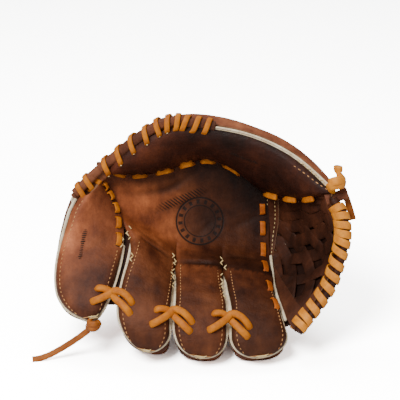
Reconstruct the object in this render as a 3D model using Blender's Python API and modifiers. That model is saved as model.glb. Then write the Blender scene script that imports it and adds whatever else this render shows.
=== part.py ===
"""A left-hand fielder's glove with four finger stalls, a thumb and a closed basket web.

The glove lies on the backs of its fingers, thumb uppermost, with its pocket facing -Y.
Points below are in millimetres in the glove's drafting frame, where Y grows from the
fingertips to the back of the hand; one root empty carries the glove to its own frame.
"""
import math

import bmesh
import bpy
from mathutils import Vector

MM = 0.001
FRAME_ORIGIN = Vector((2.7, 82.6, 0.0))     # drafting point that becomes the part's origin

LEATHER = 2.4                               # shell leather
PAD = 5.0                                   # felt pads
LINING = 1.6                                # soft lining leather
SEAM_LIFT = 3.0                             # shell edge above or below its seam line
LAYER_GAP = 0.9                             # clearance between stacked layers
FINGER_PAD = 4.0
FINGER_CROWN = 7.0                          # how far a stall's front bulges from its seams
PINKY_CROWN = 9.0
THUMB_CROWN = 9.0
WELT_RADIUS = 1.1                           # raw-edged strip sewn into a seam
LACE_RADIUS = 1.8                           # rawhide lace
EDGE_LACE_RADIUS = 1.7
FAT_LACE_RADIUS = 2.5                       # lace that ties two fingers together
ROLL_RADIUS = 2.4                           # rolled heel binding
BINDING_RADIUS = 4.2                        # rolled outer edge of the web
STRAP_WIDTH = 30.0
STRAP_LEAN = Vector((-0.05, -0.35, 0.94))   # direction across the strap, upwards
TAB_SPAN = (0.55, 0.86)                     # share of the strap that its free end lies over
TAB_RISE = 8.0                              # how far the free end has lifted
WRAPS = 13                                  # turns of lace along the heel and the web edge

# Seam lines from fingertip to crotch, left to right as the glove faces its viewer.
RING_LEFT = [(-70, 8, 17), (-75, 12, 37), (-77, 24, 51), (-74, 44, 65), (-69, 64, 79), (-66, 84, 90)]
RING_MIDDLE = [(-26, 3, 13), (-25, 7, 27), (-26, 17, 40), (-25, 37, 49), (-25, 60, 55), (-25, 84, 62)]
MIDDLE_INDEX = [(27, 1, 8), (26, 5, 22), (26, 15, 34), (26, 35, 43), (23, 58, 50), (21, 82, 56)]
INDEX_RIGHT = [(84, 6, 12), (82, 11, 23), (79, 21, 30), (75, 40, 37), (71, 60, 42), (68, 82, 47)]
# The same lines carried on up the palm to the crease under the thumb.
PALM_LINES = [
    [(-66, 84, 90), (-67, 101, 105), (-74, 112, 121), (-83, 115, 136), (-90, 113, 149)],
    [(-25, 84, 62), (-23, 108, 75), (-21, 122, 93), (-24, 129, 115), (-32, 131, 134)],
    [(21, 82, 56), (21, 112, 68), (21, 130, 86), (21, 138, 109), (21, 138, 137)],
    [(68, 82, 47), (66, 109, 56), (66, 130, 71), (67, 140, 90), (65, 141, 107)],
]
PINKY_OUTER = [(-113, 21, 36), (-124, 27, 44), (-130, 37, 53), (-133, 48, 63), (-133, 60, 76),
               (-130, 72, 91), (-125, 82, 108), (-120, 90, 122), (-112, 97, 134)]
PINKY_INNER = [(-86, 22, 40), (-85, 29, 52), (-82, 43, 63), (-77, 64, 78), (-74, 84, 92),
               (-75, 101, 106), (-81, 111, 120), (-89, 114, 133), (-97, 110, 146)]
THUMB_CREASE = [(120, 62, 141), (104, 88, 128), (84, 116, 119), (62, 141, 117), (36, 139, 141),
                (10, 137, 152), (-12, 134, 150), (-33, 131, 143), (-57, 127, 141), (-75, 121, 146),
                (-89, 112, 156)]
THUMB_RIM = [(123, 62, 153), (96, 79, 170), (69, 91, 183), (42, 97, 192), (14, 100, 197),
             (-7, 99, 200), (-26, 99, 199), (-44, 99, 192), (-61, 100, 181), (-76, 102, 170),
             (-89, 107, 160)]
WEB_ROWS = [                                # inner side to outer edge, lowest row first
    [(70, 117, 57), (72, 88, 46), (76, 57, 39), (80, 30, 34), (85, 17, 28)],
    [(69, 136, 71), (82, 117, 66), (101, 84, 69), (115, 54, 75), (121, 40, 78)],
    [(71, 143, 90), (87, 122, 91), (106, 91, 100), (120, 61, 110), (127, 48, 116)],
    [(72, 143, 106), (86, 120, 110), (102, 92, 121), (113, 72, 130), (118, 62, 134)],
]
# Middle of each stall's back, from the tip.
RING_BACK = [(-49, 8, 14), (-48, 17, 6), (-48, 34, 7), (-48, 54, 10), (-48, 74, 12), (-47, 92, 12)]
MIDDLE_BACK = [(0, 4, 6), (0, 13, 0.5), (0, 32, 2), (0, 55, 5), (0, 78, 3), (0, 100, 0)]
INDEX_BACK = [(55, 6, 6), (54, 14, 0.5), (52, 32, 2), (49, 55, 5), (46, 78, 3), (45, 98, 0)]
PINKY_BACK = [(-100, 25, 33), (-107, 38, 35), (-111, 56, 41), (-113, 76, 49), (-113, 94, 61),
              (-112, 108, 77), (-112, 118, 95), (-112, 123, 113), (-110, 125, 128)]
THUMB_BACK = [(122, 65, 148), (102, 98, 151), (78, 125, 155), (52, 145, 158), (25, 146, 172),
              (1, 145, 178), (-19, 143, 177)]
HAND_BACK = [                               # knuckles to strap, pinky side first
    [(-78, 92, 52), (-86, 118, 62), (-94, 132, 84), (-100, 138, 104), (-104, 137, 120)],
    [(-46, 98, 10), (-52, 127, 14), (-58, 150, 40), (-62, 164, 80), (-66, 163, 120)],
    [(0, 103, 0), (0, 133, 0), (-2, 158, 20), (-6, 174, 64), (-12, 173, 112)],
    [(44, 101, 0), (46, 130, 0), (48, 152, 20), (48, 168, 60), (44, 166, 108)],
    [(68, 98, 26), (69, 122, 36), (67, 143, 54), (64, 154, 80), (58, 156, 108)],
]
HEEL_LINE = [(-117, 95, 134), (-109, 98, 142), (-101, 100, 150), (-90, 101, 160), (-76, 101, 172),
             (-62, 99, 185), (-48, 98, 195), (-37, 98, 202), (-26, 98, 205), (-17, 99, 205),
             (-7, 99, 203), (5, 100, 201), (14, 100, 199)]
HEEL_SPLIT = 0.2                            # share of the heel line that belongs to the pinky
WEB_EDGE = [(121, 56, 143), (129, 49, 133), (132, 43, 119), (131, 39, 105), (126, 35, 86),
            (119, 30, 67), (107, 24, 50), (95, 17, 37), (89, 13, 30)]
STRAP_LINE = [(-92, 127, 142), (-92, 142, 138), (-78, 154, 138), (-44, 164, 147), (-4, 170, 152),
              (26, 166, 156), (48, 159, 161)]
TAIL_ROUTE = [(-99, 21, 32.5), (-103, 20, 28), (-110, 19, 22.5), (-118, 18, 17), (-126, 17, 12),
              (-134, 16, 7.5), (-141, 15, 4.4), (-148, 14, 2.4), (-154, 13, 2.0)]
FINGER_TIES = {                             # where fat laces cross between two stalls
    "pinky_ring_lace": ((-80, 16, 60), 30),
    "ring_middle_lace": ((-26, 3.5, 46), 30),
    "middle_index_lace": ((27, 2.0, 41), 30),
}
THUMB_HINGE = Vector((-91, 112, 152))
PINKY_HINGE = Vector((-97, 112, 150))

COLOURS = {                                 # base colour, roughness, metallic
    "leather": ((0.19, 0.07, 0.035), 0.5, 0.0),
    "leather_dark": ((0.10, 0.04, 0.022), 0.55, 0.0),
    "lace": ((0.72, 0.34, 0.09), 0.5, 0.0),
    "raw_edge": ((0.75, 0.66, 0.50), 0.8, 0.0),
    "felt": ((0.62, 0.60, 0.55), 0.95, 0.0),
    "lining": ((0.45, 0.24, 0.12), 0.7, 0.0),
    "stiffener": ((0.20, 0.20, 0.20), 0.6, 0.0),
    "webbing": ((0.03, 0.03, 0.03), 0.9, 0.0),
}


def clear_scene():
    for obj in list(bpy.data.objects):
        bpy.data.objects.remove(obj, do_unlink=True)


def make_material(name, finish):
    colour, roughness, metallic = COLOURS[finish]
    material = bpy.data.materials.new(name + "_material")
    material.use_nodes = True
    shader = material.node_tree.nodes["Principled BSDF"]
    shader.inputs["Base Color"].default_value = (*colour, 1.0)
    shader.inputs["Roughness"].default_value = roughness
    shader.inputs["Metallic"].default_value = metallic
    return material


def smooth(points, share):
    """Point at a share, 0 to 1, of a smooth curve through the points."""
    last = len(points) - 1
    place = min(max(share, 0.0), 1.0) * last
    i = min(int(place), last - 1)
    w = place - i
    p1, p2 = Vector(points[i]), Vector(points[i + 1])
    p0 = Vector(points[i - 1]) if i > 0 else 2 * p1 - p2
    p3 = Vector(points[i + 2]) if i + 2 <= last else 2 * p2 - p1
    slope = p2 - p0
    bend = 2 * p0 - 5 * p1 + 4 * p2 - p3
    twist = 3 * p1 - p0 - 3 * p2 + p3
    return 0.5 * (2 * p1 + slope * w + bend * w * w + twist * w ** 3)


def across(lines, u, v):
    """Surface through a row of lines: u goes from line to line, v along them."""
    return smooth([smooth(line, v) for line in lines], u)


def face_normal(surface, u, v):
    step = 0.01
    along_u = surface(min(u + step, 1), v) - surface(max(u - step, 0), v)
    along_v = surface(u, min(v + step, 1)) - surface(u, max(v - step, 0))
    return along_u.cross(along_v).normalized()


def offset_surface(surface, distance):
    """The surface moved along its own normal."""
    return lambda u, v: surface(u, v) + distance * face_normal(surface, u, v)


def rest_on_floor(surface):
    """The surface pressed flat where it would pass through the floor."""
    def pressed(u, v):
        point = surface(u, v)
        point.z = max(point.z, 0.0)
        return point
    return pressed


def inner_span(span, cells, columns, rows):
    """The part of a panel's span between two of its own grid lines each way."""
    (u0, u1), (v0, v1) = span
    column = (u1 - u0) / cells[0]
    row = (v1 - v0) / cells[1]
    return ((u0 + column * columns[0], u0 + column * columns[1]),
            (v0 + row * rows[0], v0 + row * rows[1]))


def bulge(share, squareness=2.6):
    """Height, 0 to 1, of a round-shouldered section at a share of its width."""
    return max(0.0, 1 - abs(2 * share - 1) ** squareness) ** (1 / squareness)


def stall(left, right, back_line, crown, tip_share, back_end=1.0):
    """Front and back surfaces of one stall, tip at v = 0, with a round end."""
    def seam(u, v):
        tip = min(v / tip_share, 1.0)
        width = math.sqrt(max(0.0, 1 - (1 - tip) ** 2))
        start, end = smooth(left, v), smooth(right, v)
        return (start + end) / 2 + (end - start) * (u - 0.5) * width

    def front(u, v):
        tip = min(v / tip_share, 1.0)
        height = SEAM_LIFT + crown * bulge(u) * math.sqrt(max(0.0, 1 - (1 - tip) ** 2))
        return seam(u, v) + height * face_normal(seam, u, v)

    def back(u, v):
        along = v * back_end
        drop = smooth(back_line, v) - seam(0.5, along)
        edge = seam(u, along) - SEAM_LIFT * face_normal(seam, u, along)
        point = edge + bulge(u) * drop
        point.z = max(point.z, 0.0)
        return point

    return seam, front, back


def link(obj, collection, parent, name, finish):
    obj.name = name
    obj.data.name = name
    obj.data.materials.append(make_material(name, finish))
    obj.parent = parent
    obj.location = -Vector(parent.get("hinge_point", (0, 0, 0)))
    collection.objects.link(obj)
    return obj


def add_panel(glove, name, finish, body, surface, cells, thickness, span=((0, 1), (0, 1))):
    """A sheet that lies on the surface and is as thick as its leather, inwards."""
    columns, rows = cells
    (u0, u1), (v0, v1) = span
    mesh = bmesh.new()
    grid = []
    for j in range(rows + 1):
        v = v0 + (v1 - v0) * j / rows
        line = [surface(u0 + (u1 - u0) * i / columns, v) * MM for i in range(columns + 1)]
        grid.append([mesh.verts.new(point) for point in line])
    for j in range(rows):
        for i in range(columns):
            mesh.faces.new((grid[j][i], grid[j][i + 1], grid[j + 1][i + 1], grid[j + 1][i]))
    data = bpy.data.meshes.new(name)
    mesh.to_mesh(data)
    mesh.free()
    data.shade_smooth()
    obj = link(bpy.data.objects.new(name, data), glove["collection"], glove[body], name, finish)
    solidify = obj.modifiers.new("thickness", "SOLIDIFY")
    solidify.thickness = thickness * MM
    solidify.offset = -1.0
    return obj


def add_tube(glove, name, finish, body, points, radius, resolution=2):
    """A round lace, welt or roll along the points."""
    data = bpy.data.curves.new(name, "CURVE")
    data.dimensions = "3D"
    data.bevel_depth = radius * MM
    data.bevel_resolution = resolution
    data.use_fill_caps = True
    spline = data.splines.new("POLY")
    spline.points.add(len(points) - 1)
    for knot, point in zip(spline.points, points):
        knot.co = (*(Vector(point) * MM), 1.0)
    obj = bpy.data.objects.new(name, data)
    return link(obj, glove["collection"], glove[body], name, finish)


def sample(line, count, start=0.0, end=1.0):
    return [smooth(line, start + (end - start) * i / (count - 1)) for i in range(count)]


def coil(line, turns, reach, start=0.0, end=1.0, steps=7):
    """A helix of lace round a line."""
    points = []
    total = int(turns * steps)
    for k in range(total + 1):
        share = start + (end - start) * k / total
        centre = smooth(line, share)
        ahead = (smooth(line, min(share + 0.01, 1)) - smooth(line, max(share - 0.01, 0))).normalized()
        side = ahead.cross(Vector((0, -1, 0.2))).normalized()
        up = side.cross(ahead)
        angle = 2 * math.pi * k / steps
        points.append(centre + reach * (math.cos(angle) * side + math.sin(angle) * up))
    return points


def add_layers(glove, body, front, cells, span, layers):
    """Stacked sheets behind a front panel, each on the panel's own grid lines."""
    depth = LEATHER
    for layer, finish, thickness, columns, rows in layers:
        depth += LAYER_GAP
        size = (columns[1] - columns[0], rows[1] - rows[0])
        add_panel(glove, layer, finish, body, offset_surface(front, -depth), size, thickness,
                  inner_span(span, cells, columns, rows))
        depth += thickness


def welt_path(seam, count, reach):
    """A path along both seams of a stall and round its tip, from crotch to crotch."""
    up_left = [seam(0, reach * (1 - i / count)) for i in range(count)]
    up_right = [seam(1, reach * (i + 1) / count) for i in range(count)]
    return up_left + [seam(0.5, 0.004)] + up_right


def lace_on(surface, u, start, end, count, radius=LACE_RADIUS):
    """Points of a lace that lies along the surface at one u."""
    stand_off = radius + LAYER_GAP
    rows = [start + (end - start) * i / (count - 1) for i in range(count)]
    return [surface(u, v) + stand_off * face_normal(surface, u, v) for v in rows]


def add_fingers(glove):
    fingers = {
        "ring": (RING_LEFT, RING_MIDDLE, RING_BACK),
        "middle": (RING_MIDDLE, MIDDLE_INDEX, MIDDLE_BACK),
        "index": (MIDDLE_INDEX, INDEX_RIGHT, INDEX_BACK),
    }
    cells = (6, 8)
    span = ((0, 1), (0.015, 1))
    inset = Vector((2.0, 0, 0))
    for name, (left, right, back_line) in fingers.items():
        left = [Vector(point) + inset for point in left]
        right = [Vector(point) - inset for point in right]
        seam, front, back = stall(left, right, back_line, FINGER_CROWN, 0.3)
        add_panel(glove, name + "_front", "leather", "palm", front, cells, LEATHER, span)
        add_panel(glove, name + "_back", "leather", "palm", lambda u, v: back(1 - u, v), cells, LEATHER, span)
        add_layers(glove, "palm", front, cells, span,
                   [(name + "_pad", "felt", FINGER_PAD, (2, 4), (3, 7))])
        add_tube(glove, name + "_welt", "raw_edge", "palm", welt_path(seam, 6, 0.94), WELT_RADIUS, 1)


def add_palm(glove):
    palm = lambda u, v: across(PALM_LINES, u, v)
    cells = (10, 8)
    span = ((0, 1), (0.03, 0.99))
    add_panel(glove, "palm_shell", "leather", "palm", palm, cells, LEATHER, span)
    add_layers(glove, "palm", palm, cells, span,
               [("palm_pad", "felt", PAD, (2, 9), (1, 7)), ("palm_lining", "lining", LINING, (2, 9), (1, 7))])
    add_tube(glove, "index_web_welt", "raw_edge", "palm",
             [point + Vector((1.5, -2.6, 1.2)) for point in sample(INDEX_RIGHT, 9, 0.35, 1)]
             + [point + Vector((1.5, -2.6, 1.2)) for point in sample(PALM_LINES[3], 8, 0.15, 0.95)],
             WELT_RADIUS, 1)
    add_tube(glove, "index_web_lace", "lace", "palm", lace_on(palm, 0.93, 0.05, 0.9, 10), LACE_RADIUS)


def add_hand_back(glove):
    hand_back = rest_on_floor(lambda u, v: across(HAND_BACK, 1 - u, v))
    cells = (8, 8)
    span = ((0, 1), (0, 1))
    add_panel(glove, "hand_back_shell", "leather", "palm", hand_back, cells, LEATHER, span)
    add_layers(glove, "palm", hand_back, cells, span,
               [("hand_back_lining", "lining", LINING, (1, 7), (1, 7))])


def add_web(glove):
    web = lambda u, v: across(WEB_ROWS, v, u)
    add_panel(glove, "web_index_panel", "leather_dark", "palm", web, (8, 7), LEATHER,
              ((0.06, 0.93), (0.04, 0.64)))
    add_panel(glove, "web_thumb_panel", "leather_dark", "thumb", offset_surface(web, 2 * LEATHER),
              (8, 3), LEATHER, ((0.07, 0.90), (0.78, 0.95)))
    add_tube(glove, "web_binding", "leather_dark", "palm", sample(WEB_EDGE, 12), BINDING_RADIUS)
    reach = BINDING_RADIUS + EDGE_LACE_RADIUS + LAYER_GAP
    add_tube(glove, "web_edge_lace", "lace", "palm",
             coil(WEB_EDGE, WRAPS, reach, 0.03, 0.97), EDGE_LACE_RADIUS)


def add_thumb(glove):
    crease_side = [Vector(point) + Vector((0, 0, 1.5)) for point in THUMB_CREASE]
    seam, front, back = stall(crease_side, THUMB_RIM, THUMB_BACK, THUMB_CROWN, 0.16, 0.58)
    cells = (7, 14)
    span = ((0.02, 0.97), (0.02, 0.97))
    add_panel(glove, "thumb_front", "leather", "thumb", front, cells, LEATHER, span)
    add_panel(glove, "thumb_back", "leather", "thumb", lambda u, v: back(1 - u, v), (7, 8), LEATHER,
              ((0.08, 1), (0.03, 1)))
    add_layers(glove, "thumb", front, cells, span,
               [("thumb_pad", "felt", PAD, (2, 6), (2, 7)), ("thumb_stiffener", "stiffener", LINING, (2, 5), (3, 7))])
    add_layers(glove, "thumb", front, cells, span,
               [("heel_pad", "felt", PAD, (2, 6), (8, 13)), ("heel_lining", "lining", LINING, (2, 6), (8, 13))])
    rim = [seam(1.0, 0.37 * (1 - i / 8)) for i in range(8)] + [seam(0.5, 0.004)]
    add_tube(glove, "thumb_welt", "raw_edge", "thumb", rim, WELT_RADIUS, 1)
    add_tube(glove, "thumb_crease_lace", "lace", "thumb", lace_on(front, 0.1, 0.94, 0.36, 13), LACE_RADIUS)
    add_tube(glove, "thumb_web_lace", "lace", "thumb", lace_on(front, 0.12, 0.27, 0.08, 6), LACE_RADIUS)


def add_pinky(glove):
    seam, front, back = stall(PINKY_OUTER, PINKY_INNER, PINKY_BACK, PINKY_CROWN, 0.3, 0.9)
    cells = (7, 10)
    span = ((0, 1), (0.015, 0.97))
    add_panel(glove, "pinky_front", "leather", "pinky", front, cells, LEATHER, span)
    add_panel(glove, "pinky_back", "leather", "pinky", lambda u, v: back(1 - u, v), (7, 9), LEATHER,
              ((0, 1), (0.015, 1)))
    add_layers(glove, "pinky", front, cells, span,
               [("pinky_pad", "felt", PAD, (2, 5), (3, 9)), ("pinky_stiffener", "stiffener", LINING, (2, 5), (3, 8))])
    add_tube(glove, "pinky_welt", "raw_edge", "pinky", welt_path(seam, 7, 0.94), WELT_RADIUS, 1)
    add_tube(glove, "pinky_crease_lace", "lace", "pinky", lace_on(front, 0.88, 0.93, 0.5, 9), LACE_RADIUS)


def add_heel(glove):
    gap = 0.04
    reach = ROLL_RADIUS + EDGE_LACE_RADIUS + LAYER_GAP
    for name, body, start, end in (("pinky_heel", "pinky", 0.0, HEEL_SPLIT - gap),
                                   ("heel", "thumb", HEEL_SPLIT + gap, 1.0)):
        line = [point + Vector((0, 0, 1)) for point in sample(HEEL_LINE, 25)]
        add_tube(glove, name + "_roll", "leather", body,
                 sample(line, max(4, int(14 * (end - start))), start, end), ROLL_RADIUS)
        add_tube(glove, name + "_lace", "lace", body,
                 coil(line, max(2, round(WRAPS * (end - start))), reach, start + 0.01, end - 0.01),
                 EDGE_LACE_RADIUS)


def add_ties(glove):
    """Fat rawhide laces that cross twice in front of two neighbouring stalls."""
    for name, (centre, width) in FINGER_TIES.items():
        half = width / 2
        route = [(-half, -2.0, -5.0), (-half * 0.8, -6.0, -4.4), (-half * 0.3, -7.6, -1.2),
                 (half * 0.3, -7.6, 1.8), (half * 0.8, -6.0, 4.8), (half * 1.1, -3.0, 1.0),
                 (half * 0.8, -7.5, -4.6), (half * 0.3, -13.2, -1.8), (-half * 0.3, -13.2, 1.4),
                 (-half * 0.8, -9.0, 4.4), (-half, -3.0, 5.6)]
        points = [smooth(route, i / 18) + Vector(centre) for i in range(19)]
        add_tube(glove, name, "lace", "palm", points, FAT_LACE_RADIUS)


def strap_outside(u, v):
    """Outer face of the wrist strap, its thumb end at u = 0."""
    return smooth(STRAP_LINE, 1 - u) + (v - 0.5) * STRAP_WIDTH * STRAP_LEAN


def tab_surface(stand_off):
    """The strap's free end, lying back over the strap and lifted at its tip."""
    start, end = TAB_SPAN

    def surface(u, v):
        reach = 1 - u
        share = start + (end - start) * reach
        point = offset_surface(strap_outside, stand_off)(1 - share, 0.12 + 0.76 * v)
        return point + Vector((0, 0, TAB_RISE * reach))
    return surface


TAB_INNER = LINING + 2 * LAYER_GAP          # height of the free end's underside over the strap
TAB_HINGE = tab_surface(TAB_INNER)(1, 0.5)


def add_strap(glove):
    cells = (14, 3)
    span = ((0, 1), (0, 1))
    add_panel(glove, "wrist_strap", "leather_dark", "palm", strap_outside, cells, LEATHER, span)
    add_layers(glove, "palm", strap_outside, cells, span,
               [("strap_lining", "felt", LINING, (2, 12), (0, 3))])
    add_panel(glove, "strap_patch", "webbing", "palm", offset_surface(strap_outside, LINING + LAYER_GAP), (4, 2),
              LINING, ((0.1, 0.34), (0.18, 0.82)))
    add_panel(glove, "strap_tab", "leather_dark", "tab", tab_surface(TAB_INNER + LEATHER), (5, 2), LEATHER,
              ((0, 1), (0, 1)))


def add_web_knot(glove):
    knot = [(119, 60, 157), (125, 56, 160), (129, 60, 162), (126, 66, 162), (120, 67, 159), (121, 62, 166),
            (125, 63, 174)]
    add_tube(glove, "web_knot", "lace", "thumb", [smooth(knot, i / 14) for i in range(15)], 2.0)


def add_tail(glove):
    knot = [(-103, 12, 37), (-99, 9, 40), (-95, 12, 39), (-94, 17, 35), (-97, 20, 33.5)]
    add_tube(glove, "tail_knot", "lace", "pinky", [smooth(knot, i / 9) for i in range(10)], 2.6)
    add_tube(glove, "lace_tail", "lace", "pinky", sample(TAIL_ROUTE, 26), 1.6)


def main():
    clear_scene()
    collection = bpy.data.collections.new("fielders_glove")
    bpy.context.scene.collection.children.link(collection)
    root = bpy.data.objects.new("glove_frame", None)
    root.location = -FRAME_ORIGIN * MM
    collection.objects.link(root)
    glove = {"collection": collection, "palm": root}
    for body, pivot in (("thumb", THUMB_HINGE), ("pinky", PINKY_HINGE), ("tab", TAB_HINGE)):
        empty = bpy.data.objects.new(body + "_hinge", None)
        empty.parent = root
        empty.location = pivot * MM
        empty["hinge_point"] = pivot * MM
        collection.objects.link(empty)
        glove[body] = empty
    add_palm(glove)
    add_hand_back(glove)
    add_fingers(glove)
    add_web(glove)
    add_thumb(glove)
    add_pinky(glove)
    add_heel(glove)
    add_ties(glove)
    add_strap(glove)
    add_web_knot(glove)
    add_tail(glove)


main()
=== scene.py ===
import math

import bmesh
import bpy
import numpy as np
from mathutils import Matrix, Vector, kdtree


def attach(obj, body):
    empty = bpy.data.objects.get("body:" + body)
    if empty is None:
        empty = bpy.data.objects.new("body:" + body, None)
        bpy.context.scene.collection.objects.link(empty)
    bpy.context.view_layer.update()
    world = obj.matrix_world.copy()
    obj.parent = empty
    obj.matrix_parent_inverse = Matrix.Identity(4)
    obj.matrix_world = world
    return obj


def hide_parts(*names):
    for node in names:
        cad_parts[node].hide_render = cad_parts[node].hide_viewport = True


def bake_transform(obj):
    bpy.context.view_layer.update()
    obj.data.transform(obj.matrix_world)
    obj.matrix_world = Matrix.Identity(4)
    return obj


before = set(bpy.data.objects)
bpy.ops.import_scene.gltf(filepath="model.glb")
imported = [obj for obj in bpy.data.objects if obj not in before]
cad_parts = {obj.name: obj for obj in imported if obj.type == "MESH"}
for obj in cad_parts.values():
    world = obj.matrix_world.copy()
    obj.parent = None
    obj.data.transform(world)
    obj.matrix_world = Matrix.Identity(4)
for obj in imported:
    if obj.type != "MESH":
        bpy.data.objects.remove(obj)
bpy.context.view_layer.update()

draftOrigin = np.array([2.7, 82.6, 0.0])  # mm, the drafting frame's place of the row frame's origin
leatherThick = 2.4  # mm
tipStart = 0.0006  # share at which a stall's tip starts, short of the pole
seamLift = 3.0  # mm from the seam line to a front's outer edge
skinGap = 0.9  # mm between a hide and the layer under it
fingerFelt, feltThick, liningThick = 4.0, 5.0, 1.6  # mm


def toRow(points):
    return (np.asarray(points, float) - draftOrigin) * 0.001


def say(text):
    print("[glove] " + text)


def linked(name, data):
    obj = bpy.data.objects.new(name, data)
    bpy.context.collection.objects.link(obj)
    return obj


# the camera comes first
view = {"target": (0, 70, 136.79), "distance": 1400, "elevation": 22,  # mm, degrees
        "lens": 137.0, "sensor": 36}


def addCamera():
    camera = linked("camera", bpy.data.cameras.new("camera"))
    target = Vector(toRow(view["target"]))
    tilt = math.radians(view["elevation"])
    away = Vector((0, -math.cos(tilt), math.sin(tilt))) * view["distance"] * 0.001
    camera.location = target + away
    camera.rotation_euler = away.to_track_quat("Z", "Y").to_euler()
    camera.data.lens = view["lens"]
    camera.data.sensor_width = view["sensor"]
    bpy.context.scene.camera = camera


addCamera()
say("camera placed")

# the glove's lines, in mm in the drafting frame, tip first
ringLeft = [(-70, 8, 17), (-75, 12, 37), (-77, 24, 51), (-74, 44, 65), (-69, 64, 79), (-66, 84, 90)]
ringMiddle = [(-26, 3, 13), (-25, 7, 27), (-26, 17, 40), (-25, 37, 49), (-25, 60, 55), (-25, 84, 62)]
middleIndex = [(27, 1, 8), (26, 5, 22), (26, 15, 34), (26, 35, 43), (23, 58, 50), (21, 82, 56)]
indexRight = [(84, 6, 12), (82, 11, 23), (79, 21, 30), (75, 40, 37), (71, 60, 42), (68, 82, 47)]
palmLines = [  # they go under the little finger's inner edge and up behind the thumb's crease
    [(-67, 84, 90), (-77, 103, 105), (-84, 113.5, 119.5), (-92, 116.5, 133), (-98, 114, 146),
     (-97, 113, 158)],
    [(-25, 84, 62), (-23, 108, 75), (-21, 122, 93), (-24, 129, 115), (-32, 132, 134), (-34, 136, 153)],
    [(21, 82, 56), (21, 112, 68), (21, 130, 86), (21, 138, 109), (21, 140, 135), (20, 143, 157)],
    [(69, 82, 47), (67, 109, 56), (67, 130, 71), (68, 141, 90), (67, 143, 106), (66, 146, 125)],
]
pinkyOuter = [(-113, 21, 36), (-124, 27, 44), (-130, 37, 53), (-133, 48, 63), (-133, 60, 76),
              (-130, 72, 91), (-125, 82, 108), (-120, 90, 122), (-112, 97, 134)]
pinkyInner = [(-84, 22, 40), (-82, 29, 52), (-79, 43, 63), (-74, 64, 78), (-71.5, 84, 92),
              (-74, 101, 106), (-81, 111, 120), (-89, 114, 133), (-97, 110, 146)]
thumbCrease = [(120, 62, 142.5), (104, 88, 129.5), (84, 116, 120.5), (62, 141, 118.5), (36, 139, 142.5),
               (10, 137, 153.5), (-12, 134, 151.5), (-33, 131, 144.5), (-57, 127, 142.5),
               (-75, 121, 147.5), (-89, 112, 157.5)]
thumbRim = [(123, 62, 153), (96, 79, 170), (69, 91, 183), (42, 97, 192), (14, 100, 197), (-7, 99, 200),
            (-26, 99, 199), (-44, 99, 192), (-61, 100, 181), (-76, 102, 170), (-89, 107, 160)]
webRows = [  # the last row goes up behind the thumb's crease
    [(66, 119, 57), (71, 89, 46), (76, 57, 39), (81, 30, 34), (88, 16, 28)],
    [(64, 138, 71), (82, 117, 66), (101, 84, 69), (115, 54, 75), (123, 39, 80)],
    [(65, 145, 90), (87, 122, 91), (106, 91, 100), (120, 61, 110), (129, 47, 117)],
    [(65, 146, 106), (86, 121, 110), (102, 93, 121), (114, 71, 130), (122, 58, 135)],
    [(65, 146, 121), (85, 120, 125), (103, 92, 133), (116, 70, 142), (122, 62, 148)],
]
ringBack = [(-49, 8, 14), (-48, 17, 6), (-48, 34, 7), (-48, 54, 10), (-48, 74, 12), (-47, 92, 12)]
middleBack = [(0, 4, 6), (0, 13, 0.5), (0, 32, 2), (0, 55, 5), (0, 78, 3), (0, 100, 0)]
indexBack = [(55, 6, 6), (54, 14, 0.5), (52, 32, 2), (49, 55, 5), (46, 78, 3), (45, 98, 0)]
pinkyBack = [(-100, 25, 33), (-107, 38, 35), (-111, 56, 41), (-113, 76, 49), (-113, 94, 61),
             (-112, 108, 77), (-112, 118, 95), (-112, 123, 113), (-110, 125, 128)]
thumbBack = [(122, 65, 148), (102, 98, 151), (78, 125, 155), (52, 145, 158), (25, 146, 172),
             (1, 145, 178), (-19, 143, 177)]
handBackLines = [
    [(-78, 92, 52), (-86, 118, 62), (-94, 132, 84), (-100, 138, 104), (-104, 137, 120)],
    [(-46, 98, 10), (-52, 127, 14), (-58, 150, 40), (-62, 164, 80), (-66, 163, 120)],
    [(0, 103, 0), (0, 133, 0), (-2, 158, 20), (-6, 174, 64), (-12, 173, 112)],
    [(44, 101, 0), (46, 130, 0), (48, 152, 20), (48, 168, 60), (44, 166, 108)],
    [(68, 98, 26), (69, 122, 36), (67, 143, 54), (64, 154, 80), (58, 156, 108)],
]
heelLine = [(-117, 95, 135), (-109, 98, 143), (-101, 100, 151), (-90, 101, 161), (-76, 101, 173),
            (-62, 99, 186), (-48, 98, 196), (-37, 98, 203), (-26, 98, 206), (-17, 99, 206),
            (-7, 99, 204), (5, 100, 202), (14, 100, 200)]
webEdge = [(121, 56, 143), (129, 49, 133), (132, 43, 119), (131, 39, 105), (126, 35, 86),
           (119, 30, 67), (107, 24, 50), (95, 17, 37), (89, 13, 30)]
strapLine = [(-92, 127, 142), (-92, 142, 138), (-78, 154, 138), (-44, 164, 147), (-4, 170, 152),
             (26, 166, 156), (48, 159, 161)]
strapLean = np.array([-0.05, -0.35, 0.94])
tailRoute = [(-99, 21, 32.5), (-103, 20, 28), (-110, 19, 22.5), (-118, 18, 17), (-126, 17, 12),
             (-134, 16, 7.5), (-141, 15, 4.4), (-148, 14, 2.4), (-154, 13, 2.0)]


def curveAt(points, share):  # a smooth curve through the points
    points = np.asarray(points, float)
    last = len(points) - 1
    place = np.clip(np.asarray(share, float), 0, 1) * last
    i = np.minimum(place.astype(int), last - 1)
    w = (place - i)[..., None]
    padded = np.concatenate([2 * points[:1] - points[1:2], points, 2 * points[-1:] - points[-2:-1]])
    return smoothStep(*[padded[i + k] for k in range(4)], w)


def smoothStep(p0, p1, p2, p3, w):  # from p1 to p2 by the share w
    bend = 2 * p0 - 5 * p1 + 4 * p2 - p3
    return 0.5 * (2 * p1 + (p2 - p0) * w + bend * w * w + (3 * p1 - p0 - 3 * p2 + p3) * w ** 3)


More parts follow.
